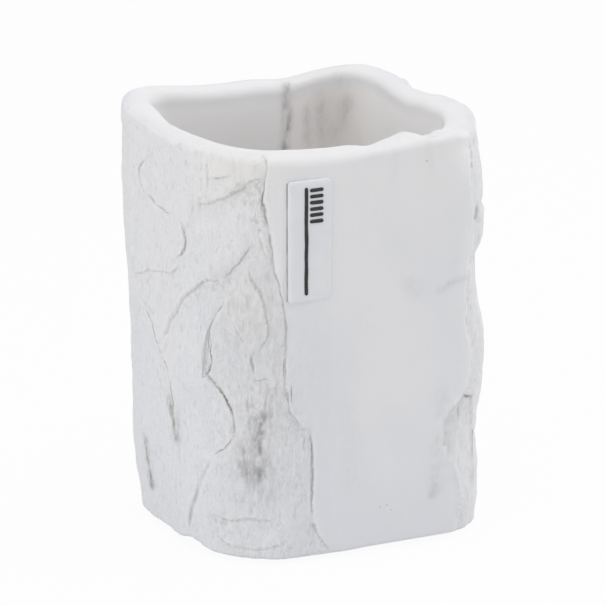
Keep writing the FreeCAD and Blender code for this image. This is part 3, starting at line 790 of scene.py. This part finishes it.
    def hollows(self):
        """How far each place lies below its surroundings, from -1 on ridges to 1 in pits, for painted
        shade in pits and painted highlight on ridges.
        """
        grid = self.height.reshape(form.radii.shape)
        around = grid
        for step in range(HOLLOW_STEPS):
            around = softened(around)
            around = (np.roll(around, 1, axis=1) + 2.0 * around + np.roll(around, -1, axis=1)) / 4.0
        return np.clip((around - grid) / HOLLOW_FULL, -1.0, 1.0)


relief = Relief()
relief.carve_all()
relief.roughen()
relief.calm()
relief.shift_edges()


def seat_wall(points):
    """Set the wall back to the seat where the plaque goes."""
    within = (points > form.seat_low) & (points < form.seat_high)
    inside = within[..., 0] & within[..., 2] & (points[..., 1] < 0.0)
    points[inside, 1] = form.seat_depth
    return inside


def cup_rings():
    """Rings of the cup from the middle of its underside, up the outside and down to its floor."""
    shape = form.radii.shape
    outer = form.points + form.normals * relief.height.reshape(shape)[..., None]
    seat = seat_wall(outer)
    rings = []
    shades = []
    plain = np.zeros((shape[1], len(SHADES)))
    plain[:, SHADES.index("line_side")] = LINE_FAR
    inside = plain.copy()
    inside[:, SHADES.index("inside")] = 1.0

    def add(points, shade):
        rings.append(points)
        shades.append(shade)

    lines = (relief.line_side, relief.line_half, relief.line_dark)
    values = (relief.bark, *lines, relief.hollows(), np.zeros_like(relief.bark))
    wall_shade = np.stack([value.reshape(shape) for value in values], axis=2)
    # paint a shadow line on the seat, seen in the gap beside the plaque
    wall_shade[seat] = [SEAT_PAINTED_SHADOW[name] for name in SHADES]
    foot = outer[0] - form.normals[0] * BASE_ROUND
    for share in DISC_SHARES[::-1]:
        ring = foot * (share, share, 0.0)
        ring[:, 2] = form.base + form.worn * share**WORN_POWER
        add(ring, plain)
    for turn in np.linspace(0.0, math.pi / 2, ROUND_ROWS, endpoint=False):
        ring = outer[0] - form.normals[0] * BASE_ROUND * (1.0 - math.sin(turn))
        ring[:, 2] = form.base + form.worn + BASE_ROUND * (1.0 - math.cos(turn))
        add(ring, wall_shade[0])
    for ring, shade in zip(outer, wall_shade):
        add(ring, shade)
    mouth = np.array([
        inner_radius(angle, top - MOUTH_DEPTH) for angle, top in zip(form.angles, form.tops)
    ]) - form.mouth_marks
    inner_edge = form.out * mouth[:, None]
    outer_edge = outer[-1] * (1.0, 1.0, 0.0)
    wall = np.linalg.norm(outer_edge - inner_edge, axis=1)
    for share in np.linspace(0.0, 1.0, RIM_ROWS + 2)[1:]:
        across, drop = rim_profile(share, wall)
        ring = outer_edge + (inner_edge - outer_edge) * across[:, None]
        notched = smooth(INNER_MARK_START, INNER_MARK_FULL, across)
        ring[:, 2] = form.tops + form.tilts * (0.5 - across) - drop
        ring[:, 2] += form.outer_marks * (1.0 - across) ** 2 + form.inner_marks * notched
        fade = smooth(0.0, RIM_SHADE_SHARE, share)
        add(ring, wall_shade[-1] * (1.0 - fade) + plain * fade)
    levels = inner_levels()
    for number in range(1, len(levels)):
        level = levels[number]
        radii = np.array([inner_radius(angle, height) for angle, height in zip(form.angles, level)])
        radii -= form.mouth_marks * smooth(INNER_UPPER_DEPTH, 0.0, levels[0] - level)
        ring = form.out * radii[:, None]
        ring[:, 2] = level
        fade = smooth(0.0, INNER_UPPER_ROWS / 2, number)
        ring += form.out * (fade * INNER_WAVE * ripple(ring, INNER_LENGTHS, INNER_SEED))[:, None]
        add(ring, inside)
    last = rings[-1]
    for turn in np.linspace(0.0, math.pi / 2, ROUND_ROWS + 1)[1:]:
        ring = last - form.out * FLOOR_ROUND * (1.0 - math.cos(turn))
        ring[:, 2] = form.floor + FLOOR_ROUND * (1.0 - math.sin(turn))
        add(ring, inside)
    last = rings[-1]
    for share in DISC_SHARES:
        add(last * (share, share, 1.0), inside)
    return rings, shades


def rim_profile(share, wall):
    """How far across the rim a row lies, as a share, and how far down: its two edges are rounded."""
    inner = form.inner_rounds / wall
    outer = np.minimum(RIM_ROUND_WIDTH_SHARE * form.rounds / wall, 1.0 - RIM_FLAT_SHARE - inner)
    crown = RIM_CROWN * (2.0 * share - 1.0) ** 2
    if share < RIM_EDGE_SHARE:
        turn = share / RIM_EDGE_SHARE * math.pi / 2
        return outer * (1.0 - math.cos(turn)), crown + form.rounds * (1.0 - math.sin(turn))
    if share > 1.0 - RIM_EDGE_SHARE:
        turn = (1.0 - share) / RIM_EDGE_SHARE * math.pi / 2
        drop = crown + form.inner_rounds * (1.0 - math.sin(turn))
        return 1.0 - inner * (1.0 - math.cos(turn)), drop
    flat = (share - RIM_EDGE_SHARE) / (1.0 - 2.0 * RIM_EDGE_SHARE)
    return outer + (1.0 - outer - inner) * flat, crown


def inner_levels():
    """Levels of the rows down the inside, close together where the mouth shows them."""
    start = form.tops - form.tilts / 2 + form.inner_marks - form.inner_rounds - RIM_CROWN
    bend = start.min() - INNER_UPPER_DEPTH
    stop = form.floor + FLOOR_ROUND
    upper = [start + (bend - start) * share for share in np.linspace(0.0, 1.0, INNER_UPPER_ROWS + 1)]
    lower = [np.full_like(start, level) for level in np.linspace(bend, stop, INNER_LOWER_ROWS + 1)]
    return upper + lower[1:]


def patch_share(points, patches, blotchy, number):
    """Strength of a kind of patch at points of the cup."""
    total = np.zeros(len(points))
    for patch in patches:
        spots = np.array([seen_at(pixel) for pixel in patch.points])
        nearest = np.full(len(points), np.inf)
        for start, end in zip(spots[:-1], spots[1:]):
            way = end - start
            share = np.clip((points - start) @ way / (way @ way), 0.0, 1.0)
            nearest = np.minimum(nearest, np.linalg.norm(points - start - share[:, None] * way, axis=1))
        near = np.nonzero(nearest < PATCH_REACH * patch.width)[0]
        blotch = BLOTCH_MIDDLE + blotchy * ripple(points[near], BLOTCH_LENGTHS, PATCH_SEED + number)
        total[near] += patch.strength * hump(nearest[near], patch.width) * blotch
    return np.clip(total, 0.0, 1.0)


def new_piece(name, points, faces, slot, *nodes):
    """A piece in metres that rides on the body and stands for CAD nodes."""
    mesh = bpy.data.meshes.new(name)
    mesh.from_pydata((np.asarray(points) * MM).tolist(), [], faces)
    mesh.shade_smooth()
    piece = add_object(name, mesh)
    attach(piece, "root")
    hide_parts(*nodes)
    return piece


def ring_faces(rows, columns):
    """Quads between rings of points that close on themselves."""
    faces = []
    for row in range(rows - 1):
        for column in range(columns):
            after = (column + 1) % columns
            faces.append((
                row * columns + column, row * columns + after,
                (row + 1) * columns + after, (row + 1) * columns + column,
            ))
    return faces


def add_cup():
    rings, shades = cup_rings()
    columns = len(form.angles)
    count = len(rings) * columns
    under = np.array((0.0, 0.0, form.base))
    over = np.array((0.0, 0.0, form.floor))
    points = np.concatenate([*rings, under[None], over[None]])
    faces = ring_faces(len(rings), columns)
    last = count - columns
    for column in range(columns):
        after = (column + 1) % columns
        faces.append((count, after, column))
        faces.append((count + 1, last + column, last + after))
    cup = new_piece("cast_cup", points, faces, "cast_resin", "tumbler_body")
    shades = np.concatenate([*shades, shades[0][:1], shades[-1][:1]])
    values = dict(zip(SHADES, shades.T))
    for number, (name, (patches, blotchy)) in enumerate(PATCHES.items()):
        values[name] = patch_share(points, patches, blotchy, number)
    for name, value in values.items():
        layer = cup.data.attributes.new(name, "FLOAT", "POINT")
        layer.data.foreach_set("value", value.astype(np.float32))
    return cup


# Materials. Sockets of a colour mix: its share and two colours, and its result
MIX_INPUTS = (0, 6, 7)
MIX_RESULT = 2


class Shader:
    """A material's nodes, with short calls to add and join them."""

    def __init__(self, name):
        self.material = bpy.data.materials.new(name)
        self.material.use_nodes = True
        self.tree = self.material.node_tree
        self.surface = self.tree.nodes["Principled BSDF"]
        self.place = self.node("ShaderNodeTexCoord").outputs["Object"]

    def node(self, kind, inputs=(), **settings):
        made = self.tree.nodes.new(kind)
        for name, value in settings.items():
            setattr(made, name, value)
        for name, value in dict(inputs).items():
            self.feed(made.inputs[name], value)
        return made

    def feed(self, socket, value):
        if isinstance(value, bpy.types.NodeSocket):
            self.tree.links.new(value, socket)
        else:
            socket.default_value = value

    def grain(self, length, stretch=1.0, detail=3.0):
        """Noise between 0 and 1, with a typical length, drawn out upwards by the stretch."""
        mapping = {"Vector": self.place, "Scale": (1.0, 1.0, 1.0 / stretch)}
        where = self.node("ShaderNodeMapping", mapping).outputs["Vector"]
        settings = {"Vector": where, "Scale": 1.0 / (length * MM), "Detail": detail}
        return self.node("ShaderNodeTexNoise", settings).outputs["Fac"]

    def swing(self, length, stretch=1.0, detail=3.0):
        """The same noise about 0."""
        return self.sum("SUBTRACT", self.grain(length, stretch, detail), 0.5)

    def ramp(self, value, low, high, start=0.0, end=1.0):
        names = {"Value": value, "From Min": low, "From Max": high, "To Min": start, "To Max": end}
        return self.node("ShaderNodeMapRange", names, interpolation_type="SMOOTHSTEP").outputs["Result"]

    def mask(self, grain, ends):
        return self.ramp(self.grain(*grain), *ends)

    def sum(self, kind, first, second):
        made = self.node("ShaderNodeMath", operation=kind)
        self.feed(made.inputs[0], first)
        self.feed(made.inputs[1], second)
        return made.outputs["Value"]

    def times(self, first, second):
        return self.sum("MULTIPLY", first, second)

    def mix(self, share, first, second):
        made = self.node("ShaderNodeMix", data_type="RGBA")
        for index, value in zip(MIX_INPUTS, (share, first, second)):
            self.feed(made.inputs[index], value)
        return made.outputs[MIX_RESULT]

    def attribute(self, name):
        return self.node("ShaderNodeAttribute", attribute_name=name).outputs["Fac"]

    def bump(self, height, depth, strength=1.0):
        names = {"Height": height, "Distance": depth * MM, "Strength": strength}
        self.feed(self.surface.inputs["Normal"], self.node("ShaderNodeBump", names).outputs["Normal"])

    def finish(self, colour, roughness, **others):
        self.feed(self.surface.inputs["Base Color"], colour)
        self.feed(self.surface.inputs["Roughness"], roughness)
        for name, value in others.items():
            self.feed(self.surface.inputs[name.replace("_", " ")], value)
        return self.material


RESIN_WHITE = (0.885, 0.882, 0.897, 1.0)
RESIN_COOL = (0.825, 0.84, 0.88, 1.0)
# warm white of the inside, lighter than the resin outside: painted light that brightens the inside
INSIDE_PAINTED_LIGHT_WHITE = (0.965, 0.95, 0.945, 1.0)
RESIN_CREAM = (0.89, 0.875, 0.845, 1.0)
BARK_WHITE = (0.85, 0.853, 0.872, 1.0)
RESIN_GREY = (0.62, 0.62, 0.63, 1.0)
# colour of the painted shade on the inside
PAINTED_SHADE_GREY = (0.70, 0.68, 0.66, 1.0)
RIDGE_WHITE = (0.93, 0.925, 0.925, 1.0)
SMUDGE_GREY = (0.33, 0.325, 0.335, 1.0)
# colours of the cracks' dark line, which is painted shade and partly brown stain
CRACK_BROWN = (0.30, 0.275, 0.235, 1.0)
CRACK_SHADE_GREY = (0.34, 0.335, 0.34, 1.0)
CRACK_TAN = (0.60, 0.575, 0.53, 1.0)
SPECK_OCHRE = (0.68, 0.58, 0.36, 1.0)
# Grain: typical length, how far it is drawn out upwards, and detail
CLOUD_GRAIN = (26.0, 1.8, 4.0)
VEIN_GRAIN = (34.0, 2.5, 5.0)
SPARSE_GRAIN = (30.0, 1.0, 2.0)
FIBRE_GRAIN = (0.6, 5.0, 4.0)
LAYER_GRAIN = (7.0, 2.0, 5.0)
FLECK_GRAIN = (1.2, 1.3, 4.0)
DASH_GRAIN = (1.3, 2.0, 2.5)
SCAR_GRAIN = (1.6, 1.7, 2.5)
MOTTLE_GRAIN = (1.1, 2.0, 5.0)
FINE_GRAIN = (0.4, 1.0, 2.0)
WANDER_GRAIN = (2.2, 1.3, 2.0)
RAGGED_GRAIN = (0.55, 1.5, 3.0)
BREAK_GRAIN = (2.6, 1.8, 3.0)
# Masks: where each starts and ends, and its values there where they are not 0 and 1
HEIGHT_TONE_RISE = (0.0, 100.0 * MM, -0.16, 0.14)
CLOUD_MASK = (0.35, 0.65)
VEIN_MASK = (0.0, 0.03, 1.0, 0.0)
SPARSE_MASK = (0.52, 0.7, 0.0, 0.1)
CREAM_MASK = (0.0, 1.0, 1.0, 0.25)
DASH_MASK = (0.62, 0.69)
SCAR_MASK = (0.38, 0.31)
FLECK_PITS = (0.53, 0.60)
FLECK_CRESTS = (0.47, 0.40)
# painted shade in hollows and painted highlight on ridges
HOLLOW_PAINTED_SHADE_MASK = (0.0, 1.0, 0.0, 0.4)
RIDGE_PAINTED_HIGHLIGHT_MASK = (0.0, -1.0, 0.0, 0.5)
MOTTLE_MASK = (0.3, 0.65, 0.35, 1.25)
BREAK_MASK = (0.34, 0.54, 0.5, 1.0)
LINE_MASK = (0.4, 1.2, 1.0, 0.0)
EDGE_RISE = (1.2, 1.9)
EDGE_FALL = (1.9, 3.6, 1.0, 0.0)
EDGE_MASK = (0.05, 0.2)
STAIN_MASK = (1.0, 4.5, 1.0, 0.0)
BROWN_MASK = (0.45, 0.7)
ROUGH_MASK = (0.0, 1.0, 0.06, 1.0)
GLOSS_MASK = (0.0, 1.0, 0.47, 0.67)
# Share of the resin's colour that each tint takes
BARK_TINT = 0.5
CREAM_TINT = 0.7
DASH_TINT = 0.3
SCAR_TINT = 0.4
PIT_TINT = 0.5
CREST_TINT = 0.6
STAIN_TINT = 0.25
CRACK_HIGHLIGHT_TINT = 0.4
GREY_TINT = 0.5
OCHRE_TINT = 0.8
# Rise and sink of the fine surface, in steps of the bump's depth
FIBRE_RISE = 1.2
GRAIN_RISE = 0.7
DASH_SINK = 0.3
CRUMB_SINK = 5.0
LINE_SINK = 1.2
LAYER_SNAP = 0.06
LAYER_RISE = 24.0
BUMP_DEPTH = 0.2
BUMP_STRENGTH = 0.8
GRAIN_GLOSS = 0.1
RESIN_SHEEN = 0.4
# how far the dark lines of the cracks stray, and their width as a share of the groove's
WANDER_SHIFT = 0.9
RAGGED_SHIFT = 0.6
LINE_SHARE = 0.85
LEAST_HALF = 0.02
# core and edge of a speck, as shares of its size
SPECK_CORE = 0.3
SPECK_EDGE = 1.1
# light that the resin lets through on the inside
GLOW_SHARE = 0.8
GLOW_REACH = 5.0


def speck_mask(shader, specks):
    """1 inside small specks of the surface."""
    mask = 0.0
    for pixel, size in specks:
        spot = shader.node("ShaderNodeVectorMath", operation="DISTANCE")
        shader.feed(spot.inputs[0], shader.place)
        shader.feed(spot.inputs[1], tuple(seen_at(pixel) * MM))
        core, edge = SPECK_CORE * size * MM, SPECK_EDGE * size * MM
        mask = shader.sum("MAXIMUM", mask, shader.ramp(spot.outputs["Value"], core, edge, 1.0, 0.0))
    return mask


def crack_masks(shader):
    """Painted shade line, painted highlight along the edge, and a soft band of stain and painted shade
    beside the cracks, from the distance to them.
    """
    side, half, dark = (shader.attribute(name) for name in ("line_side", "line_half", "line_dark"))
    wander = shader.times(shader.swing(*WANDER_GRAIN), WANDER_SHIFT)
    ragged = shader.times(shader.swing(*RAGGED_GRAIN), RAGGED_SHIFT)
    moved = shader.sum("ADD", side, shader.sum("ADD", wander, ragged))
    width = shader.sum("MAXIMUM", shader.times(half, LINE_SHARE), LEAST_HALF)
    ratio = shader.sum("DIVIDE", shader.sum("ABSOLUTE", moved, 0.0), width)
    broken = shader.times(dark, shader.mask(BREAK_GRAIN, BREAK_MASK))
    edge = shader.times(shader.ramp(ratio, *EDGE_RISE), shader.ramp(ratio, *EDGE_FALL))
    return {
        "line": shader.times(shader.ramp(ratio, *LINE_MASK), broken),
        "edge": shader.times(edge, shader.ramp(half, *EDGE_MASK)),
        "stain": shader.times(shader.ramp(ratio, *STAIN_MASK), broken),
        "colour": shader.mix(shader.ramp(dark, *BROWN_MASK), CRACK_SHADE_GREY, CRACK_BROWN),
    }


def resin_material():
    shader = Shader("cast_resin")
    names = ("bark", "hollow", "crumb", "cream", "inside")
    bark, hollow, crumb, cream, inside = (shader.attribute(name) for name in names)
    height = shader.node("ShaderNodeSeparateXYZ", {"Vector": shader.place}).outputs["Z"]
    # the resin turns cooler and darker towards the bottom and whiter towards the top
    cloud = shader.sum("ADD", shader.grain(*CLOUD_GRAIN), shader.ramp(height, *HEIGHT_TONE_RISE))
    vein = shader.sum("ABSOLUTE", shader.swing(*VEIN_GRAIN), 0.0)
    sparse = shader.mask(SPARSE_GRAIN, SPARSE_MASK)
    coarse = shader.times(bark, shader.ramp(cream, *CREAM_MASK))
    fleck = shader.grain(*FLECK_GRAIN)
    dash = shader.mask(DASH_GRAIN, DASH_MASK)
    scar = shader.mask(SCAR_GRAIN, SCAR_MASK)
    pits = shader.times(shader.ramp(fleck, *FLECK_PITS), crumb)
    crests = shader.times(shader.ramp(fleck, *FLECK_CRESTS), crumb)
    mottle = shader.mask(MOTTLE_GRAIN, MOTTLE_MASK)
    cracks = crack_masks(shader)
    tints = (
        (shader.times(bark, BARK_TINT), BARK_WHITE),
        (shader.times(cream, CREAM_TINT), RESIN_CREAM),
        # painted light: the inside takes a lighter, warm white
        (inside, INSIDE_PAINTED_LIGHT_WHITE),
        # painted shade on part of the inside
        (shader.attribute("shade"), PAINTED_SHADE_GREY),
        (shader.times(shader.ramp(vein, *VEIN_MASK), sparse), RESIN_GREY),
        (shader.times(shader.times(dash, coarse), DASH_TINT), RESIN_GREY),
        (shader.times(shader.times(scar, coarse), SCAR_TINT), RIDGE_WHITE),
        (shader.times(pits, PIT_TINT), RESIN_GREY),
        (shader.times(crests, CREST_TINT), RIDGE_WHITE),
        # painted shade in the hollows of the relief and painted highlight on its ridges
        (shader.ramp(hollow, *HOLLOW_PAINTED_SHADE_MASK), RESIN_GREY),
        (shader.ramp(hollow, *RIDGE_PAINTED_HIGHLIGHT_MASK), RIDGE_WHITE),
        (shader.times(shader.attribute("smudge"), mottle), SMUDGE_GREY),
        # band beside the cracks: stain, partly painted shade
        (shader.times(cracks["stain"], STAIN_TINT), CRACK_TAN),
        # painted highlight along the raised edges of the cracks
        (shader.times(cracks["edge"], CRACK_HIGHLIGHT_TINT), RIDGE_WHITE),
        # dark line of each crack: painted shade in the crack, partly its brown stain
        (cracks["line"], cracks["colour"]),
        (shader.times(speck_mask(shader, GREY_SPECKS), GREY_TINT), SMUDGE_GREY),
        (shader.times(speck_mask(shader, OCHRE_SPECKS), OCHRE_TINT), SPECK_OCHRE),
    )
    colour = shader.mix(shader.ramp(cloud, *CLOUD_MASK), RESIN_COOL, RESIN_WHITE)
    for share, tint in tints:
        colour = shader.mix(share, colour, tint)
    grain = shader.swing(*FINE_GRAIN)
    layers = shader.times(shader.sum("SNAP", shader.swing(*LAYER_GRAIN), LAYER_SNAP), LAYER_RISE)
    fibre = shader.times(shader.swing(*FIBRE_GRAIN), FIBRE_RISE)
    rough = shader.sum("ADD", fibre, shader.times(grain, GRAIN_RISE))
    rough = shader.sum("ADD", shader.sum("SUBTRACT", rough, shader.times(dash, DASH_SINK)), layers)
    rough = shader.times(rough, shader.ramp(coarse, *ROUGH_MASK))
    crumbs = shader.times(shader.sum("SUBTRACT", fleck, 0.5), crumb)
    for sunk, depth in ((crumbs, CRUMB_SINK), (cracks["line"], LINE_SINK)):
        rough = shader.sum("SUBTRACT", rough, shader.times(sunk, depth))
    shader.bump(rough, BUMP_DEPTH, BUMP_STRENGTH)
    roughness = shader.sum("ADD", shader.ramp(bark, *GLOSS_MASK), shader.times(grain, GRAIN_GLOSS))
    return shader.finish(
        colour, roughness, Specular_IOR_Level=RESIN_SHEEN,
        Subsurface_Weight=shader.times(inside, GLOW_SHARE),
        Subsurface_Radius=(1.0, 1.0, 1.0), Subsurface_Scale=GLOW_REACH * MM,
    )


# Plainer materials: two colours with the grain and the mask that mix them, then a fine grain with
# the depth and strength of its bump and the roughness that it goes between
Plain = namedtuple("Plain", "slot first second cloud mask grain depth strength rough")
PLAQUE = Plain(
    "plaque", (0.83, 0.845, 0.88, 1.0), (0.865, 0.87, 0.895, 1.0),
    (5.0, 1.0, 3.0), (0.3, 0.7), (0.35, 1.0, 2.0), 0.02, 0.6, (0.32, 0.42),
)
PAINT = Plain(
    "black_paint", (0.009, 0.0095, 0.011, 1.0), (0.022, 0.023, 0.026, 1.0),
    (1.2, 1.0, 3.0), (0.35, 0.7), (0.3, 1.0, 2.0), 0.02, 0.5, (0.28, 0.4),
)
RUBBER = Plain(
    "foot_rubber", (0.62, 0.62, 0.60, 1.0), (0.50, 0.50, 0.49, 1.0),
    (2.0, 1.0, 4.0), (0.3, 0.7), (0.25, 1.0, 2.0), 0.03, 0.7, (0.55, 0.75),
)
FILM = Plain(
    "adhesive", (0.80, 0.78, 0.72, 1.0), (0.72, 0.69, 0.60, 1.0),
    (1.5, 1.0, 4.0), (0.3, 0.7), (0.3, 1.0, 3.0), 0.02, 0.6, (0.4, 0.6),
)
ROUGH_START = 0.3
ROUGH_END = 0.7


def plain_material(kind):
    shader = Shader(kind.slot)
    cloud = shader.mask(kind.cloud, kind.mask)
    grain = shader.grain(*kind.grain)
    shader.bump(grain, kind.depth, kind.strength)
    roughness = shader.ramp(grain, ROUGH_START, ROUGH_END, *kind.rough)
    return shader.finish(shader.mix(cloud, kind.first, kind.second), roughness)


# Plaque: rings from its back round its bevelled edge to its face, as inset and how far each stands
# out, from the back for the first rings and from the face for the others
PLAQUE_CORNER = 0.9
LEAST_CORNER = 0.15
CORNER_STEPS = 7
PLAQUE_RINGS = (
    (0.12, 0.0), (0.0, 0.12), (0.0, -0.42), (0.06, -0.3), (0.22, -0.17), (0.5, -0.08), (0.85, -0.02),
    (1.1, 0.0), (2.2, 0.0),
)
BACK_RINGS = 2


def rounded_outline(low, high, inset):
    """Outline of a rounded rectangle in the plaque's plane."""
    radius = max(PLAQUE_CORNER - inset, LEAST_CORNER)
    corners = ((high[0], low[2]), (high[0], high[2]), (low[0], high[2]), (low[0], low[2]))
    points = []
    for number, (x, z) in enumerate(corners):
        inward = np.array((-1.0 if x == high[0] else 1.0, -1.0 if z == high[2] else 1.0))
        centre = np.array((x, z)) + inward * (inset + radius)
        for step in range(CORNER_STEPS):
            turn = math.pi / 2 * (number - 1 + step / (CORNER_STEPS - 1))
            points.append(centre + radius * np.array((math.cos(turn), math.sin(turn))))
    return np.array(points)


def add_plaque():
    low, high = sides("label_plaque")
    back, face = high[1], low[1]
    rings = []
    for number, (inset, depth) in enumerate(PLAQUE_RINGS):
        outline = rounded_outline(low, high, inset)
        y = back - depth if number < BACK_RINGS else face - depth
        rings.append(np.stack((outline[:, 0], np.full(len(outline), y), outline[:, 1]), axis=1))
    columns = len(rings[0])
    faces = ring_faces(len(rings), columns)
    faces.append(tuple(range(columns))[::-1])
    faces.append(tuple(range((len(rings) - 1) * columns, len(rings) * columns)))
    return new_piece("plaque_plate", np.concatenate(rings), faces, "plaque", "label_plaque")


# Raised strokes: a plain toothbrush, hand drawn
STROKE_RISE = 0.3
STROKE_ARC = 9
STROKE_STEP = 0.25
STROKE_LEAST_STEPS = 12
STROKE_SINK = 0.02
STROKE_WOBBLE = 0.14
WOBBLE_LENGTH = 5.0
RADIUS_CHANGE = 0.12
RADIUS_LENGTH = 3.0
# how full a stroke's dome is, how its height follows its width, and how blunt its ends are
DOME_POWER = 0.8
THIN_POWER = 0.5
BLUNT_SQUARE = 0.0004
# decimals of a metre to which two corners of the solid count as one
WELD_DIGITS = 7


def add_strokes():
    """Domed strokes in the places of the solid's strokes, each with a little wobble."""
    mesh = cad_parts["label_motif"].data
    face = sides("label_plaque")[0][1]
    points = []
    faces = []
    for number, (start, end, radius) in enumerate(stroke_lines(mesh)):
        way = end - start
        length = np.hypot(*way)
        way = way / length
        across = np.array((way[1], -way[0]))
        total = length + 2.0 * radius
        steps = max(STROKE_LEAST_STEPS, round(total / STROKE_STEP))
        first = len(points)
        for step in range(steps + 1):
            along = (1.0 - math.cos(math.pi * step / steps)) / 2 * total - radius
            over = max(-along, along - length, 0.0) / radius
            wobble = STROKE_WOBBLE * float(ripple_along(along, WOBBLE_LENGTH, WOBBLE_SEED + number))
            change = RADIUS_CHANGE * float(ripple_along(along, RADIUS_LENGTH, RADIUS_SEED + number))
            size = radius * (1.0 + change) * math.sqrt(max(1.0 - over * over, BLUNT_SQUARE))
            middle = start + way * along + across * wobble
            for part in range(STROKE_ARC):
                turn = math.pi * part / (STROKE_ARC - 1)
                side = middle + across * size * math.cos(turn)
                rise = STROKE_RISE * math.sin(turn) ** DOME_POWER * (size / radius) ** THIN_POWER
                points.append((side[0], face + STROKE_SINK - rise, side[1]))
        for corners in ring_faces(steps + 1, STROKE_ARC):
            turned = corners[:1] + corners[:0:-1]
            faces.append(tuple(first + corner for corner in turned))
        faces.append(tuple(range(first, first + STROKE_ARC)))
        faces.append(tuple(range(len(points) - STROKE_ARC, len(points)))[::-1])
    return new_piece("brush_strokes", points, faces, "black_paint", "label_motif")


def stroke_lines(mesh):
    """Start, end and radius of each stroke of the solid, read from its separate islands."""
    parent = list(range(len(mesh.vertices)))

    def root(index):
        while parent[index] != index:
            parent[index] = parent[parent[index]]
            index = parent[index]
        return index

    spots = {}
    for vertex in mesh.vertices:
        key = tuple(round(value, WELD_DIGITS) for value in vertex.co)
        parent[vertex.index] = spots.setdefault(key, vertex.index)
    for edge in mesh.edges:
        parent[root(edge.vertices[0])] = root(edge.vertices[1])
    islands = {}
    for vertex in mesh.vertices:
        islands.setdefault(root(vertex.index), []).append((vertex.co.x / MM, vertex.co.z / MM))
    lines = []
    for island in islands.values():
        low, high = np.min(island, axis=0), np.max(island, axis=0)
        radius = min(high - low) / 2
        lines.append((low + radius, high - radius, radius))
    return sorted(lines, key=lambda line: (line[0][1], line[0][0]))


# Stage and light
FLOOR_SIDE = 6000.0
FLOOR_COLOUR = (0.9, 0.9, 0.9, 1.0)
SHADOW_SHARE = 0.06
WORLD_LIGHT = 0.525
# lamps: place, side and power
LAMPS = {
    "top_lamp": ((0.0, -100.0, 900.0), 700.0, 2.55),
    "left_lamp": ((-950.0, -250.0, 350.0), 600.0, 2.0),
    "right_lamp": ((950.0, -50.0, 350.0), 600.0, 2.2),
}


def seen_share(shader_tree):
    """1 for rays from the camera and for mirrored or transmitted ones, 0 for the rest."""
    path = shader_tree.nodes.new("ShaderNodeLightPath")
    share = path.outputs["Is Camera Ray"]
    for name in ("Is Glossy Ray", "Is Transmission Ray"):
        largest = shader_tree.nodes.new("ShaderNodeMath")
        largest.operation = "MAXIMUM"
        shader_tree.links.new(share, largest.inputs[0])
        shader_tree.links.new(path.outputs[name], largest.inputs[1])
        share = largest.outputs[0]
    return share


def add_floor():
    mesh = bpy.data.meshes.new("floor")
    half = FLOOR_SIDE / 2 * MM
    corners = [(-half, -half, 0.0), (half, -half, 0.0), (half, half, 0.0), (-half, half, 0.0)]
    mesh.from_pydata(corners, [], [(0, 1, 2, 3)])
    floor = add_object("floor", mesh)
    material = bpy.data.materials.new("floor")
    material.use_nodes = True
    tree = material.node_tree
    surface = tree.nodes["Principled BSDF"]
    surface.inputs["Base Color"].default_value = FLOOR_COLOUR
    surface.inputs["Roughness"].default_value = 1.0
    surface.inputs["Specular IOR Level"].default_value = 0.0
    white = tree.nodes.new("ShaderNodeEmission")
    share = tree.nodes.new("ShaderNodeMath")
    share.operation = "MULTIPLY"
    tree.links.new(seen_share(tree), share.inputs[0])
    share.inputs[1].default_value = 1.0 - SHADOW_SHARE
    mix = tree.nodes.new("ShaderNodeMixShader")
    tree.links.new(share.outputs[0], mix.inputs[0])
    tree.links.new(surface.outputs[0], mix.inputs[1])
    tree.links.new(white.outputs[0], mix.inputs[2])
    tree.links.new(mix.outputs[0], tree.nodes["Material Output"].inputs["Surface"])
    mesh.materials.append(material)


def add_world():
    world = bpy.data.worlds.new("studio")
    bpy.context.scene.world = world
    world.use_nodes = True
    tree = world.node_tree
    background = tree.nodes["Background"]
    background.inputs["Color"].default_value = (1.0, 1.0, 1.0, 1.0)
    strength = tree.nodes.new("ShaderNodeMapRange")
    tree.links.new(seen_share(tree), strength.inputs["Value"])
    strength.inputs["To Min"].default_value = WORLD_LIGHT
    strength.inputs["To Max"].default_value = 1.0
    tree.links.new(strength.outputs[0], background.inputs["Strength"])


def add_lamps():
    for name, (place, side, power) in LAMPS.items():
        data = bpy.data.lights.new(name, "AREA")
        data.size = side * MM
        data.energy = power
        aim(add_object(name, data), np.array(place), CAMERA_TARGET - place)


def dress():
    """Give every piece and every carried node its material."""
    film = plain_material(FILM)
    rubber = plain_material(RUBBER)
    for name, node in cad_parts.items():
        if name.startswith("foot_adhesive") or name == "label_adhesive":
            wear = film
        elif name.startswith("foot"):
            wear = rubber
        else:
            continue
        node.data.materials.clear()
        node.data.materials.append(wear)
    add_cup().data.materials.append(resin_material())
    add_plaque().data.materials.append(plain_material(PLAQUE))
    add_strokes().data.materials.append(plain_material(PAINT))


add_camera()
dress()
add_floor()
add_world()
add_lamps()
bpy.context.scene.view_settings.view_transform = "Standard"
